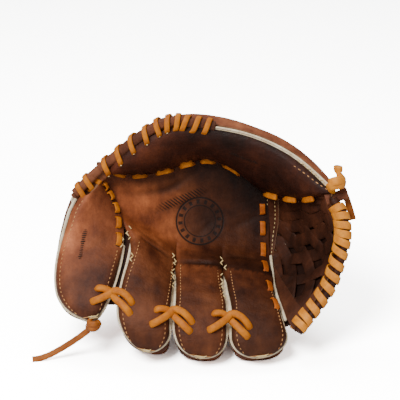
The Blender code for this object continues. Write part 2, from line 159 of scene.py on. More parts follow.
def across(lines, u, v):  # a smooth surface through the lines
    stack = np.stack([curveAt(line, v) for line in lines])
    last = len(lines) - 1
    place = np.clip(u, 0, 1) * last
    i = np.minimum(place.astype(int), last - 1)
    w = (place - i)[..., None]
    padded = np.concatenate([2 * stack[:1] - stack[1:2], stack, 2 * stack[-1:] - stack[-2:-1]])
    near = [np.take_along_axis(padded, (i + k)[None, ..., None], axis=0)[0] for k in range(4)]
    return smoothStep(*near, w)


def unit(vectors):
    return vectors / np.maximum(np.linalg.norm(vectors, axis=-1, keepdims=True), 1e-9)


def faceNormal(surface, u, v):
    step = 0.01
    alongU = surface(np.minimum(u + step, 1), v) - surface(np.maximum(u - step, 0), v)
    alongV = surface(u, np.minimum(v + step, 1)) - surface(u, np.maximum(v - step, 0))
    return unit(np.cross(alongU, alongV))


def raised(surface, height):
    return lambda u, v: surface(u, v) + height * faceNormal(surface, u, v)


def nearEdge(share, width):  # 1 at either edge, fading inward
    return np.exp(-np.minimum(share, 1 - share) / width)


def bulge(share, squareness=2.6):
    return np.maximum(0, 1 - np.abs(2 * share - 1) ** squareness) ** (1 / squareness)


def ease(low, high, value):
    t = np.clip((value - low) / (high - low), 0, 1)
    return t * t * (3 - 2 * t)


def tipWidth(v, tipShare):
    return np.sqrt(np.maximum(0, 1 - (1 - np.minimum(v / tipShare, 1)) ** 2))


def softSide(share):
    return 1 - (1 - 2 * np.clip(share, 0, 0.5)) ** 2


def makeStall(left, right, backLine, crown, tipShare, backEnd=1.0, soft=None):
    def seam(u, v):
        start, end = curveAt(left, v), curveAt(right, v)
        return (start + end) / 2 + (end - start) * ((u - 0.5) * tipWidth(v, tipShare))[..., None]

    def front(u, v):
        rise = bulge(u)
        if soft == "left":
            rise = np.where(u < 0.5, softSide(u), rise)
        if soft == "right":
            low = ease(0.30, 0.45, v)
            rise = np.where(u > 0.5, rise * (1 - low) + softSide(1 - u) * low, rise)
        height = seamLift + crown * rise * tipWidth(v, tipShare)
        return seam(u, v) + height[..., None] * faceNormal(seam, u, v)

    def back(u, v):
        along = v * backEnd
        drop = curveAt(backLine, v) - seam(np.full_like(u, 0.5), along)
        edge = seam(u, along) - seamLift * faceNormal(seam, u, along)
        point = edge + bulge(u)[..., None] * drop
        point[..., 2] = np.maximum(point[..., 2], 0)
        return point

    return seam, front, back


def sideways(surface):
    return lambda u, v: surface(1 - u, v)


def tonedMesh(name, verts, faces, shade):
    mesh = bpy.data.meshes.new(name)
    mesh.from_pydata(toRow(np.concatenate(verts)).tolist(), [], faces)
    tone = mesh.attributes.new("tone", "FLOAT", "POINT")
    tone.data.foreach_set("value", np.concatenate(shade).astype(np.float32))
    return mesh


def meshFrom(name, grids, tones=None, weld=0.0):
    verts, faces, shade = [], [], []
    base = 0
    for k, grid in enumerate(grids):
        rows, columns = grid.shape[:2]
        verts.append(grid.reshape(-1, 3))
        shade.append(np.ones(rows * columns) if tones is None else tones[k].reshape(-1))
        index = base + np.arange(rows * columns).reshape(rows, columns)
        quads = np.stack([index[:-1, :-1], index[:-1, 1:], index[1:, 1:], index[1:, :-1]], -1)
        faces.append(quads.reshape(-1, 4))
        base += rows * columns
    mesh = tonedMesh(name, verts, np.concatenate(faces).tolist(), shade)
    if weld:
        shape = bmesh.new()
        shape.from_mesh(mesh)
        bmesh.ops.remove_doubles(shape, verts=shape.verts, dist=weld)
        shape.to_mesh(mesh)
        shape.free()
    mesh.shade_smooth()
    return linked(name, mesh)


def settle(obj):  # modifiers become plain mesh
    bpy.context.view_layer.update()
    ready = obj.evaluated_get(bpy.context.evaluated_depsgraph_get())
    mesh = bpy.data.meshes.new_from_object(ready, preserve_all_data_layers=True,
                                           depsgraph=bpy.context.evaluated_depsgraph_get())
    old = obj.data
    obj.modifiers.clear()
    obj.data = mesh
    mesh.name = obj.name
    if old.users == 0:
        bpy.data.meshes.remove(old)
    return obj


def thicken(obj, finish, edgeFinish, thickness=leatherThick, roundEdge=0.5):
    obj.data.materials.append(finishes[finish])
    obj.data.materials.append(finishes[edgeFinish])
    shell = obj.modifiers.new("leather", "SOLIDIFY")
    shell.thickness = thickness * 0.001
    shell.offset = -1
    shell.use_even_offset = False
    shell.material_offset_rim = 1
    if roundEdge:
        soft = obj.modifiers.new("skived", "BEVEL")
        soft.width = roundEdge * 0.001
        soft.segments = 2
        soft.limit_method = "ANGLE"
        soft.angle_limit = math.radians(50)
        soft.harden_normals = False
    return settle(obj)


def layOut(surface, columns, rows, uSpan=(0, 1), vSpan=(0, 1), tipPower=1.0):
    u = np.linspace(uSpan[0], uSpan[1], columns + 1)
    v = vSpan[0] + (vSpan[1] - vSpan[0]) * np.linspace(0, 1, rows + 1) ** tipPower
    u, v = np.meshgrid(u, v)
    return surface(u, v), u, v


def strip(points, ups, width, thickness, sides=12, squareness=0.55):
    points = np.asarray(points, float)
    ahead = unit(np.gradient(points, axis=0))
    ups = np.broadcast_to(np.asarray(ups, float), points.shape)
    ups = unit(ups - (ups * ahead).sum(-1, keepdims=True) * ahead)
    side = np.cross(ahead, ups)
    angle = np.linspace(0, 2 * math.pi, sides, endpoint=False)
    x = np.sign(np.cos(angle)) * np.abs(np.cos(angle)) ** squareness / 2
    y = np.sign(np.sin(angle)) * np.abs(np.sin(angle)) ** squareness / 2
    width = np.broadcast_to(width, len(points))[:, None, None]
    thickness = np.broadcast_to(thickness, len(points))[:, None, None]
    return (points[:, None] + width * x[None, :, None] * side[:, None]
            + thickness * y[None, :, None] * ups[:, None])


def stripPiece(name, rings, finish, tones=None):
    verts, faces, shade, along = [], [], [], []
    base = 0
    for k, ring in enumerate(rings):
        count, sides = ring.shape[:2]
        verts.append(ring.reshape(-1, 3))
        middle = ring.mean(axis=1)
        reach = np.concatenate([[0], np.cumsum(np.linalg.norm(np.diff(middle, axis=0), axis=1))])
        along.append(np.stack([np.repeat(reach, sides) * 0.001 + 0.37 * k,
                               np.tile(np.arange(sides) / sides, count)], -1))
        shade.append(np.ones(count * sides) if tones is None else np.repeat(tones[k], sides))
        for i in range(count - 1):
            for j in range(sides):
                n = (j + 1) % sides
                faces.append((base + i * sides + j, base + (i + 1) * sides + j,
                              base + (i + 1) * sides + n, base + i * sides + n))
        faces.append([base + j for j in range(sides)])
        faces.append([base + (count - 1) * sides + j for j in reversed(range(sides))])
        base += count * sides
    mesh = tonedMesh(name, verts, faces, shade)
    along = np.concatenate(along)
    layer = mesh.uv_layers.new(name="along")
    corner = np.empty(len(mesh.loops), int)
    mesh.loops.foreach_get("vertex_index", corner)
    layer.data.foreach_set("uv", along[corner].astype(np.float32).reshape(-1))
    shape = bmesh.new()
    shape.from_mesh(mesh)
    bmesh.ops.recalc_face_normals(shape, faces=shape.faces)
    shape.to_mesh(mesh)
    shape.free()
    mesh.materials.append(finishes[finish])
    mesh.shade_smooth()
    return linked(name, mesh)


def newFinish(name):
    material = bpy.data.materials.new(name)
    material.use_nodes = True
    nodes, links = material.node_tree.nodes, material.node_tree.links
    return material, nodes, links, nodes["Principled BSDF"]


def dial(node, values):
    for label, value in values.items():
        node.inputs[label].default_value = value


def noiseNode(nodes, links, source, scale, detail=3.0, roughness=0.55, stretch=None):
    noise = nodes.new("ShaderNodeTexNoise")
    dial(noise, {"Scale": scale, "Detail": detail, "Roughness": roughness})
    if stretch:
        turn = nodes.new("ShaderNodeMapping")
        turn.inputs["Scale"].default_value = stretch
        links.new(source, turn.inputs["Vector"])
        source = turn.outputs["Vector"]
    links.new(source, noise.inputs["Vector"])
    return noise.outputs["Fac"]


def rampNode(nodes, links, source, stops):
    ramp = nodes.new("ShaderNodeValToRGB")
    while len(ramp.color_ramp.elements) < len(stops):
        ramp.color_ramp.elements.new(0.5)
    for element, (place, colour) in zip(ramp.color_ramp.elements, stops):
        element.position = place
        element.color = (*colour, 1)
    links.new(source, ramp.inputs["Fac"])
    return ramp.outputs["Color"]


def mathNode(nodes, links, operation, first, second=None):
    node = nodes.new("ShaderNodeMath")
    node.operation = operation
    for socket, value in zip(node.inputs, (first, second)):
        if isinstance(value, (int, float)):
            socket.default_value = value
        elif value is not None:
            links.new(value, socket)
    return node.outputs[0]


def sumNode(nodes, links, first, a, second, b):  # a of the first and b of the second
    return mathNode(nodes, links, "ADD", mathNode(nodes, links, "MULTIPLY", first, a),
                    mathNode(nodes, links, "MULTIPLY", second, b))


def tonedNode(nodes, links, colour):  # darker or paler by the mesh's tone attribute, which holds painted shade and painted light besides plain darker edges and panels
    tone = nodes.new("ShaderNodeAttribute")
    tone.attribute_name = "tone"
    return mixNode(nodes, links, 1.0, colour, tone.outputs["Color"], "MULTIPLY")


def mixNode(nodes, links, share, first, second, blend="MIX"):
    mix = nodes.new("ShaderNodeMix")
    mix.data_type = "RGBA"
    mix.blend_type = blend
    for socket, value in ((mix.inputs[0], share), (mix.inputs[6], first), (mix.inputs[7], second)):
        if isinstance(value, (int, float)):
            socket.default_value = value
        elif isinstance(value, tuple):
            socket.default_value = (*value, 1)
        else:
            links.new(value, socket)
    return mix.outputs[2]


def bumpNode(nodes, links, height, distance, strength=1.0, below=None):
    bump = nodes.new("ShaderNodeBump")
    dial(bump, {"Strength": strength, "Distance": distance})
    links.new(height, bump.inputs["Height"])
    if below is not None:
        links.new(below, bump.inputs["Normal"])
    return bump.outputs["Normal"]


hideLooks = {  # light, mid and dark, linear colours
    "palm hide": ((0.40, 0.115, 0.036), (0.21, 0.053, 0.015), (0.080, 0.017, 0.005)),
    "finger hide": ((0.31, 0.094, 0.034), (0.17, 0.046, 0.016), (0.075, 0.017, 0.006)),
    # the thumb hide is a darker copy of the hide: painted shade on the thumb's face, which faces down
    "thumb hide in painted shade": ((0.080, 0.019, 0.006), (0.036, 0.008, 0.003), (0.013, 0.003, 0.001)),
    # the web hide is very dark, partly its own oiled colour and partly painted shade in the pocket; the
    # strap and the slit gussets use it too
    "dark web hide with painted shade": ((0.075, 0.021, 0.008), (0.036, 0.010, 0.004), (0.014, 0.004, 0.0015)),
    "back hide": ((0.25, 0.080, 0.031), (0.14, 0.039, 0.014), (0.065, 0.016, 0.005)),
    "binding hide": ((0.26, 0.088, 0.036), (0.15, 0.044, 0.018), (0.07, 0.020, 0.008)),
}
hideGrain = {"blotch": 26, "pull": 90, "pores": 950, "creases": 170,  # noise sizes per metre
             "grainDeep": 0.00035, "creaseDeep": 0.0012,  # metres
             "roughLow": 0.46, "roughHigh": 0.68, "specular": 0.22}


def hideFinish(name, emblem=False):
    light, mid, dark = hideLooks[name]
    material, nodes, links, shader = newFinish(name)
    place = nodes.new("ShaderNodeTexCoord").outputs["Object"]
    blotch = noiseNode(nodes, links, place, hideGrain["blotch"], 4, 0.6)
    pull = noiseNode(nodes, links, place, hideGrain["pull"], 3, 0.6, (1.0, 0.5, 0.35))
    mottle = sumNode(nodes, links, blotch, 0.7, pull, 0.3)
    colour = rampNode(nodes, links, mottle, [(0.36, dark), (0.50, mid), (0.66, light)])
    colour = tonedNode(nodes, links, colour)
    pores = nodes.new("ShaderNodeTexVoronoi")
    pores.inputs["Scale"].default_value = hideGrain["pores"]
    links.new(place, pores.inputs["Vector"])
    fleck = rampNode(nodes, links, pores.outputs["Distance"], [(0.0, (0.62, 0.62, 0.62)), (0.35, (1, 1, 1))])
    colour = mixNode(nodes, links, 0.5, colour, fleck, "MULTIPLY")
    height = sumNode(nodes, links, pores.outputs["Distance"], 0.5, pull, 1.4)
    if emblem:
        burn = emblemMask(nodes, links)
        charred = mixNode(nodes, links, emblemLook["charred"], colour, emblemLook["colour"])
        colour = mixNode(nodes, links, burn, colour, charred)
        height = mathNode(nodes, links, "SUBTRACT", height, mathNode(nodes, links, "MULTIPLY", burn, 1.2))
    links.new(colour, shader.inputs["Base Color"])
    rough = nodes.new("ShaderNodeMapRange")
    dial(rough, {"To Min": hideGrain["roughLow"], "To Max": hideGrain["roughHigh"]})
    links.new(pull, rough.inputs["Value"])
    links.new(rough.outputs["Result"], shader.inputs["Roughness"])
    shader.inputs["Specular IOR Level"].default_value = hideGrain["specular"]
    creases = noiseNode(nodes, links, place, hideGrain["creases"], 5, 0.7, (0.45, 1.0, 1.0))
    below = bumpNode(nodes, links, creases, hideGrain["creaseDeep"], 0.9)
    links.new(bumpNode(nodes, links, height, hideGrain["grainDeep"], 0.8, below), shader.inputs["Normal"])
    return material


emblemLook = {  # metres and degrees
    "outer": 0.0225, "inner": 0.0150, "line": 0.0011, "spokes": 16, "spokeHalf": 0.0030,
    "bar": (0.028, 0.0050), "barPlace": (-0.017, 0.021), "barTurn": 22, "hatch": 2100,
    "scorch": 0.62, "charred": 0.92, "colour": (0.010, 0.005, 0.0035), "place": (0.0027, 0.1019)}


def bandMask(nodes, links, value, centre, half):
    gap = mathNode(nodes, links, "ABSOLUTE", mathNode(nodes, links, "SUBTRACT", value, centre))
    edge = nodes.new("ShaderNodeMapRange")
    dial(edge, {"From Min": half, "From Max": half * 0.55})
    links.new(gap, edge.inputs["Value"])
    return edge.outputs["Result"]


def emblemMask(nodes, links):
    layout = nodes.new("ShaderNodeUVMap")
    layout.uv_map = "emblem"
    parts = nodes.new("ShaderNodeSeparateXYZ")
    links.new(layout.outputs["UV"], parts.inputs["Vector"])
    x, y = parts.outputs["X"], parts.outputs["Y"]
    length = nodes.new("ShaderNodeVectorMath")
    length.operation = "LENGTH"
    links.new(layout.outputs["UV"], length.inputs[0])
    reach = length.outputs["Value"]
    outer = bandMask(nodes, links, reach, emblemLook["outer"], emblemLook["line"])
    inner = bandMask(nodes, links, reach, emblemLook["inner"], emblemLook["line"] * 0.7)
    turn = mathNode(nodes, links, "MULTIPLY", mathNode(nodes, links, "ARCTAN2", y, x), emblemLook["spokes"])
    ray = mathNode(nodes, links, "GREATER_THAN", mathNode(nodes, links, "SINE", turn), 0.35)
    between = bandMask(nodes, links, reach, (emblemLook["outer"] + emblemLook["inner"]) / 2,
                       emblemLook["spokeHalf"])
    rays = mathNode(nodes, links, "MULTIPLY", ray, between)
    scorch = nodes.new("ShaderNodeMapRange")
    dial(scorch, {"From Min": emblemLook["outer"] + 0.004, "From Max": emblemLook["inner"],
                  "To Max": emblemLook["scorch"]})
    links.new(reach, scorch.inputs["Value"])
    halfLong, halfHigh = emblemLook["bar"]
    tilt = math.radians(emblemLook["barTurn"])
    barX, barY = emblemLook["barPlace"]
    turnBar = nodes.new("ShaderNodeMapping")
    shift = (-barX * math.cos(tilt) - barY * math.sin(tilt),
             barX * math.sin(tilt) - barY * math.cos(tilt), 0)
    dial(turnBar, {"Rotation": (0, 0, -tilt), "Location": shift})
    links.new(layout.outputs["UV"], turnBar.inputs["Vector"])
    turned = nodes.new("ShaderNodeSeparateXYZ")
    links.new(turnBar.outputs["Vector"], turned.inputs["Vector"])
    x, y = turned.outputs["X"], turned.outputs["Y"]
    barLong = bandMask(nodes, links, x, 0.0, halfLong)
    barHigh = bandMask(nodes, links, y, 0.0, halfHigh)
    slanted = mathNode(nodes, links, "ADD", x, mathNode(nodes, links, "MULTIPLY", y, 0.6))
    beat = mathNode(nodes, links, "MULTIPLY", slanted, emblemLook["hatch"])
    hatch = mathNode(nodes, links, "GREATER_THAN", mathNode(nodes, links, "SINE", beat), 0.1)
    bar = mathNode(nodes, links, "MULTIPLY", mathNode(nodes, links, "MULTIPLY", barLong, barHigh), hatch)
    drawn = mathNode(nodes, links, "MAXIMUM", mathNode(nodes, links, "MAXIMUM", outer, inner),
                     mathNode(nodes, links, "MAXIMUM", rays, bar))
    drawn = mathNode(nodes, links, "MAXIMUM", drawn, scorch.outputs["Result"])
    return mathNode(nodes, links, "MINIMUM", drawn, 1.0)


laceLooks = {  # light and dark
    "rawhide lace": ((0.62, 0.20, 0.010), (0.36, 0.085, 0.005)),
    "edge lace": ((0.86, 0.33, 0.032), (0.56, 0.165, 0.010)),
    # a deeper, redder copy of the rawhide lace, for the laces on the index side
    "deeper red lace": ((0.60, 0.15, 0.014), (0.30, 0.06, 0.006)),
    "tail lace": ((0.42, 0.125, 0.018), (0.21, 0.050, 0.007)),
}


def laceFinish(name):
    light, dark = laceLooks[name]
    material, nodes, links, shader = newFinish(name)
    place = nodes.new("ShaderNodeTexCoord").outputs["Object"]
    layout = nodes.new("ShaderNodeUVMap")
    layout.uv_map = "along"
    fibre = noiseNode(nodes, links, layout.outputs["UV"], 6, 5, 0.65, (60, 14, 1))
    patch = noiseNode(nodes, links, place, 140, 3, 0.6)
    share = sumNode(nodes, links, fibre, 0.5, patch, 0.5)
    colour = tonedNode(nodes, links, rampNode(nodes, links, share, [(0.36, dark), (0.62, light)]))
    links.new(colour, shader.inputs["Base Color"])
    dial(shader, {"Roughness": 0.5, "Specular IOR Level": 0.2})
    links.new(bumpNode(nodes, links, share, 0.0005, 0.7), shader.inputs["Normal"])
    return material


plainLooks = {  # light, dark, size of the mottle per metre, bump depth in metres, roughness
    "raw edge": ((0.96, 0.83, 0.60), (0.64, 0.48, 0.29), 420, 0.0005, 0.85),
    "cut edge": ((0.30, 0.15, 0.075), (0.14, 0.06, 0.028), 420, 0.0004, 0.8),
    "strip edge": ((0.42, 0.31, 0.23), (0.24, 0.16, 0.11), 420, 0.0003, 0.8),
    "cream thread": ((0.95, 0.74, 0.38), (0.70, 0.46, 0.18), 1500, 0.0002, 0.7),
    "tan thread": ((0.72, 0.38, 0.15), (0.46, 0.19, 0.07), 1500, 0.0002, 0.7),
    # painted shadow inside the lace holes, and the dark of the tooled ticks
    "hole shadow and tool mark": ((0.020, 0.009, 0.005), (0.010, 0.004, 0.002), 900, 0.0002, 0.7),
    "wool felt": ((0.72, 0.68, 0.58), (0.46, 0.42, 0.34), 700, 0.0009, 0.95),
    "lining hide": ((0.56, 0.30, 0.14), (0.36, 0.17, 0.075), 60, 0.0004, 0.75),
    "fibre board": ((0.16, 0.15, 0.14), (0.07, 0.065, 0.06), 300, 0.0003, 0.6),
    "hook and loop": ((0.035, 0.034, 0.034), (0.008, 0.008, 0.008), 1700, 0.0012, 0.95),
}


def plainFinish(name):
    light, dark, scale, depth, roughness = plainLooks[name]
    material, nodes, links, shader = newFinish(name)
    place = nodes.new("ShaderNodeTexCoord").outputs["Object"]
    broad = noiseNode(nodes, links, place, scale * 0.2, 3, 0.6)
    fine = noiseNode(nodes, links, place, scale, 4, 0.7)
    share = sumNode(nodes, links, broad, 0.5, fine, 0.5)
    links.new(rampNode(nodes, links, share, [(0.38, dark), (0.60, light)]), shader.inputs["Base Color"])
    dial(shader, {"Roughness": roughness, "Specular IOR Level": 0.3})
    links.new(bumpNode(nodes, links, fine, depth, 0.8), shader.inputs["Normal"])
    return material


finishes = {name: hideFinish(name, name == "palm hide") for name in hideLooks}
finishes.update({name: laceFinish(name) for name in laceLooks})
finishes.update({name: plainFinish(name) for name in plainLooks})
say("finishes mixed")


# stitches, punch marks and tooled ticks are beads set on points, along runs and square to stands
def stitchTree(name):
    tree = bpy.data.node_groups.new(name, "GeometryNodeTree")
    face = tree.interface
    face.new_socket("Places", in_out="INPUT", socket_type="NodeSocketGeometry")
    for label, value in (("Length", 0.003), ("Width", 0.001), ("Height", 0.0008), ("Unevenness", 0.15)):
        face.new_socket(label, in_out="INPUT", socket_type="NodeSocketFloat").default_value = value
    face.new_socket("Seed", in_out="INPUT", socket_type="NodeSocketInt").default_value = 7
    face.new_socket("Finish", in_out="INPUT", socket_type="NodeSocketMaterial")
    face.new_socket("Stitches", in_out="OUTPUT", socket_type="NodeSocketGeometry")
    nodes, links = tree.nodes, tree.links
    given, made = nodes.new("NodeGroupInput"), nodes.new("NodeGroupOutput")
    bead = nodes.new("GeometryNodeMeshUVSphere")
    dial(bead, {"Segments": 8, "Rings": 5, "Radius": 0.5})
    size = nodes.new("ShaderNodeCombineXYZ")
    for socket, label in zip(size.inputs, ("Length", "Width", "Height")):
        links.new(given.outputs[label], socket)
    loose = nodes.new("FunctionNodeRandomValue")
    low, high = nodes.new("ShaderNodeMath"), nodes.new("ShaderNodeMath")
    low.operation, high.operation = "SUBTRACT", "ADD"
    low.inputs[0].default_value = high.inputs[0].default_value = 1.0
    for node, socket in ((low, "Min"), (high, "Max")):
        links.new(given.outputs["Unevenness"], node.inputs[1])
        links.new(node.outputs[0], [s for s in loose.inputs if s.name == socket and s.type == "VALUE"][0])
    links.new(given.outputs["Seed"], loose.inputs["Seed"])
    grown = nodes.new("ShaderNodeVectorMath")
    grown.operation = "SCALE"
    links.new(size.outputs[0], grown.inputs[0])
    links.new([s for s in loose.outputs if s.type == "VALUE"][0], grown.inputs["Scale"])
    turn = nodes.new("FunctionNodeAxesToRotation")
    turn.primary_axis, turn.secondary_axis = "X", "Z"
    for label, socket in (("runs", turn.inputs[0]), ("stands", turn.inputs[1])):
        read = nodes.new("GeometryNodeInputNamedAttribute")
        read.data_type = "FLOAT_VECTOR"
        read.inputs["Name"].default_value = label
        links.new(read.outputs["Attribute"], socket)
    sew = nodes.new("GeometryNodeInstanceOnPoints")
    links.new(given.outputs["Places"], sew.inputs["Points"])
    links.new(bead.outputs["Mesh"], sew.inputs["Instance"])
    links.new(turn.outputs[0], sew.inputs["Rotation"])
    links.new(grown.outputs[0], sew.inputs["Scale"])
    real = nodes.new("GeometryNodeRealizeInstances")
    links.new(sew.outputs[0], real.inputs[0])
    soft = nodes.new("GeometryNodeSetShadeSmooth")
    links.new(real.outputs[0], soft.inputs[0])
    dye = nodes.new("GeometryNodeSetMaterial")
    links.new(soft.outputs[0], dye.inputs[0])
    links.new(given.outputs["Finish"], dye.inputs["Material"])
    links.new(dye.outputs[0], made.inputs[0])
    return tree


stitches = stitchTree("glove stitches")


def sew(name, places, runs, stands, finish, size, seed=7, unevenness=0.15):
    mesh = bpy.data.meshes.new(name)
    mesh.from_pydata(toRow(places).tolist(), [], [])
    for label, values in (("runs", runs), ("stands", stands)):
        attribute = mesh.attributes.new(label, "FLOAT_VECTOR", "POINT")
        attribute.data.foreach_set("vector", unit(np.asarray(values, float)).astype(np.float32).reshape(-1))
    obj = linked(name, mesh)
    nodes = obj.modifiers.new("sewing", "NODES")
    nodes.node_group = stitches
    values = {"Length": size[0] * 0.001, "Width": size[1] * 0.001, "Height": size[2] * 0.001,
              "Unevenness": unevenness, "Seed": seed, "Finish": finishes[finish]}
    for item in stitches.interface.items_tree:
        if item.name in values and item.in_out == "INPUT":
            nodes[item.identifier] = values[item.name]
    return settle(obj)


# where the leather lies, for what is laced or sewn onto it
class LeatherMap:
    def __init__(self):
        self.places, self.normals = [], []

    def add(self, surface, uSpan=(0, 1), vSpan=(0, 1), count=60):
        grid, u, v = layOut(surface, count, count, uSpan, vSpan)
        self.places.append(grid.reshape(-1, 3))
        self.normals.append(faceNormal(surface, u, v).reshape(-1, 3))

    def ready(self):
        self.places, self.normals = np.concatenate(self.places), np.concatenate(self.normals)
        self.tree = kdtree.KDTree(len(self.places))
        for i, place in enumerate(self.places):
            self.tree.insert((place[0], 0, place[2]), i)
        self.tree.balance()

    def at(self, x, z):
        near = [i for _, i, _ in self.tree.find_n((x, 0, z), 6)]
        front = min(near, key=lambda i: self.places[i][1])
        return self.places[front], self.normals[front]


thumbBend = ((-91, 112, 152), (-80, 97.6, 185.4))  # square to the thumb's hinge line, 38 mm wide


def onFloor(obj):  # nothing dips under the floor
    places = np.empty(len(obj.data.vertices) * 3)
    obj.data.vertices.foreach_get("co", places)
    places[2::3] = np.maximum(places[2::3], 0)
    obj.data.vertices.foreach_set("co", places)


def labelled(obj, nodes):
    if nodes:
        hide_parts(*nodes)
    return obj


def foldAcross(obj, a, b, start, end, slot, nodes=()):
    onFloor(obj)
    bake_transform(obj)
    return labelled(obj, nodes)


def done(obj, body, slot, nodes=()):
    if body == "thumb":
        foldAcross(obj, "palm", "thumb", *thumbBend, slot, nodes)
    else:
        onFloor(obj)
        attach(obj, body)
        labelled(obj, nodes)
    return obj


# palm and three finger fronts, one piece of hide with two slits, in mm and shares
palmLook = {
    "columns": 32, "fingerRows": 62, "palmRows": 66, "inset": 2.4, "crown": 7.0, "fade": 0.27,
    "tipShare": 0.3,
    "folds": [  # u and v at both ends, width in share, depth in mm, which also sets each fold's painted shade
        ((0.02, 0.03), (0.34, 0.02), 0.016, 2.2), ((0.33, 0.015), (0.70, 0.035), 0.014, 2.4),
        ((0.04, 0.12), (0.30, 0.05), 0.018, 0.9),
        ((0.05, 0.50), (0.45, 0.80), 0.028, 1.3), ((0.12, 0.38), (0.60, 0.68), 0.024, 1.1),
        ((0.62, 0.10), (0.98, 0.18), 0.020, 1.4), ((0.40, 0.24), (0.62, 0.44), 0.028, 0.7),
        ((0.70, 0.36), (0.95, 0.60), 0.026, 0.9), ((0.22, 0.60), (0.50, 0.84), 0.022, 1.0)],
    "fingerPaintedShade": (0.38, 0.42, 0.27), "weld": 0.00002}
fingerRails = (ringLeft, ringMiddle, middleIndex, indexRight)
fingerNames = ("ring", "middle", "index")


def palmBase(u, v):
    return across(palmLines, u, v)


def palmHeight(u, v):
    share = np.clip(u * 3 - np.minimum(np.floor(u * 3), 2), 0, 1)
    crown = palmLook["crown"] * bulge(share) * (1 - ease(0, palmLook["fade"], v)) * ease(-0.02, 0.02, 1 - v)
    return seamLift * (1 - 0.4 * ease(0, 0.5, v)) + crown


def palmFace(u, v):
    return palmBase(u, v) + palmHeight(u, v)[..., None] * faceNormal(palmBase, u, v)


def insetRail(rail, amount):
    return [tuple(np.array(point) + (amount, 0, 0)) for point in rail]


stalls = {}
for fingerName, leftRail, rightRail, backLine in zip(fingerNames, fingerRails, fingerRails[1:],
                                                     (ringBack, middleBack, indexBack)):
    stalls[fingerName] = makeStall(insetRail(leftRail, palmLook["inset"]),
                                   insetRail(rightRail, -palmLook["inset"]),
                                   backLine, palmLook["crown"], palmLook["tipShare"])


def palmFolds(u, v):
    depth = np.zeros_like(u)
    shade = np.ones_like(u)
    for (u0, v0), (u1, v1), width, dip in palmLook["folds"]:
        du, dv = u1 - u0, v1 - v0
        share = np.clip(((u - u0) * du + (v - v0) * dv) / (du * du + dv * dv), 0, 1)
        away = np.hypot(u - u0 - share * du, v - v0 - share * dv)
        mark = np.exp(-(away / width) ** 2) * np.sin(math.pi * np.clip(share, 0.04, 0.96))
        depth += dip * mark
        # painted shade in each fold, darker for deeper folds
        shade -= 0.50 * mark * dip / 1.7
    return depth, shade


def palmLeather():
    count = palmLook["columns"]
    u, v = np.meshgrid(np.linspace(0, 1, 3 * count + 1), np.linspace(0, 1, palmLook["palmRows"] + 1))
    normals = faceNormal(palmBase, u, v)
    depth, shade = palmFolds(u, v)
    palm = palmBase(u, v) + (palmHeight(u, v) - depth)[..., None] * normals
    # painted shade: darker towards the web, up in the pocket under the heel and along the finger bases;
    # paler near the little finger, partly the hide's own colour and partly painted light
    shade = shade * (1 - 0.55 * ease(0.35, 0.95, u) * ease(0.10, 0.7, v)) * (1 - 0.55 * ease(0.55, 0.82, v))
    shade = shade * (1.45 - 1.12 * ease(0.0, 0.7, u)) * (0.62 + 0.38 * ease(0.0, 0.2, v))
    grids, tones = [palm], [shade]
    for k, fingerName in enumerate(fingerNames):
        seam, front = stalls[fingerName][:2]
        share, along = np.meshgrid(np.linspace(0, 1, count + 1),
                                   np.linspace(0, 1, palmLook["fingerRows"] + 1) ** 1.7)
        along = tipStart + (1 - tipStart) * along
        grid = front(share, along)
        edge = palm[0, k * count:(k + 1) * count + 1]
        pull = ease(0.80, 1.0, along)[..., None] ** 1.5
        grid = grid * (1 - pull) + (edge[None] + (grid - grid[-1:])) * pull
        bend = np.exp(-((along - 0.56) / 0.05) ** 2) * 0.8 + np.exp(-((along - 0.70) / 0.035) ** 2) * 0.5
        bend *= bulge(share) * np.sin(math.pi * share)
        grid = grid - bend[..., None] * faceNormal(seam, share, along)
        grid[-1] = edge
        # painted shade in the knuckle folds and darker along the slits; each finger is darkened by its own
        # painted shade, the index most, and is paler towards the finger bases
        tone = 1 - 0.18 * bend - 0.25 * nearEdge(share, 0.04)
        tone *= palmLook["fingerPaintedShade"][k] + 0.26 * ease(0.55, 1.0, along)
        grids.append(grid)
        tones.append(tone)
    obj = meshFrom("palmLeather", grids, tones, weld=palmLook["weld"])
    thicken(obj, "palm hide", "cut edge")
    mesh = obj.data
    layer = mesh.uv_layers.new(name="emblem")
    lean = math.radians(view["elevation"])
    for loop in mesh.loops:
        place = mesh.vertices[loop.vertex_index].co
        tilted = place.y * math.sin(lean) + place.z * math.cos(lean)
        layer.data[loop.index].uv = (place.x + emblemLook["place"][0], tilted - emblemLook["place"][1])
    return foldAcross(obj, "palm", "thumb", *thumbBend, "leather",
                      ["palm_shell", "ring_front", "middle_front", "index_front"])


def fingerBacks():
    for fingerName in fingerNames:
        grid, u, v = layOut(sideways(stalls[fingerName][2]), 26, 40, (0, 1), (0.0008, 1), 1.6)
        tone = 1 - 0.3 * nearEdge(u, 0.05)
        obj = thicken(meshFrom(fingerName + "BackLeather", [grid], [tone]), "back hide",
                      "raw edge")
        done(obj, "palm", "leather", [fingerName + "_back"])


# a layer that lies under a face, depth and thickness in mm
def layerPiece(name, surface, depth, thickness, uSpan, vSpan, finish, body, slot, nodes,
               padded=False, cells=22):
    below = raised(surface, -depth)
    grid, u, v = layOut(below, cells, cells, uSpan, vSpan)
    if padded:
        domeU, domeV = [np.sin(math.pi * (w - w.min()) / np.ptp(w)) for w in (u, v)]
        dome = (domeU * domeV) ** 0.4
        grid = grid - ((1 - dome) * thickness * 0.35)[..., None] * faceNormal(below, u, v)
    obj = thicken(meshFrom(name, [grid]), finish, finish, thickness, 0.3)
    return done(obj, body, slot, nodes)


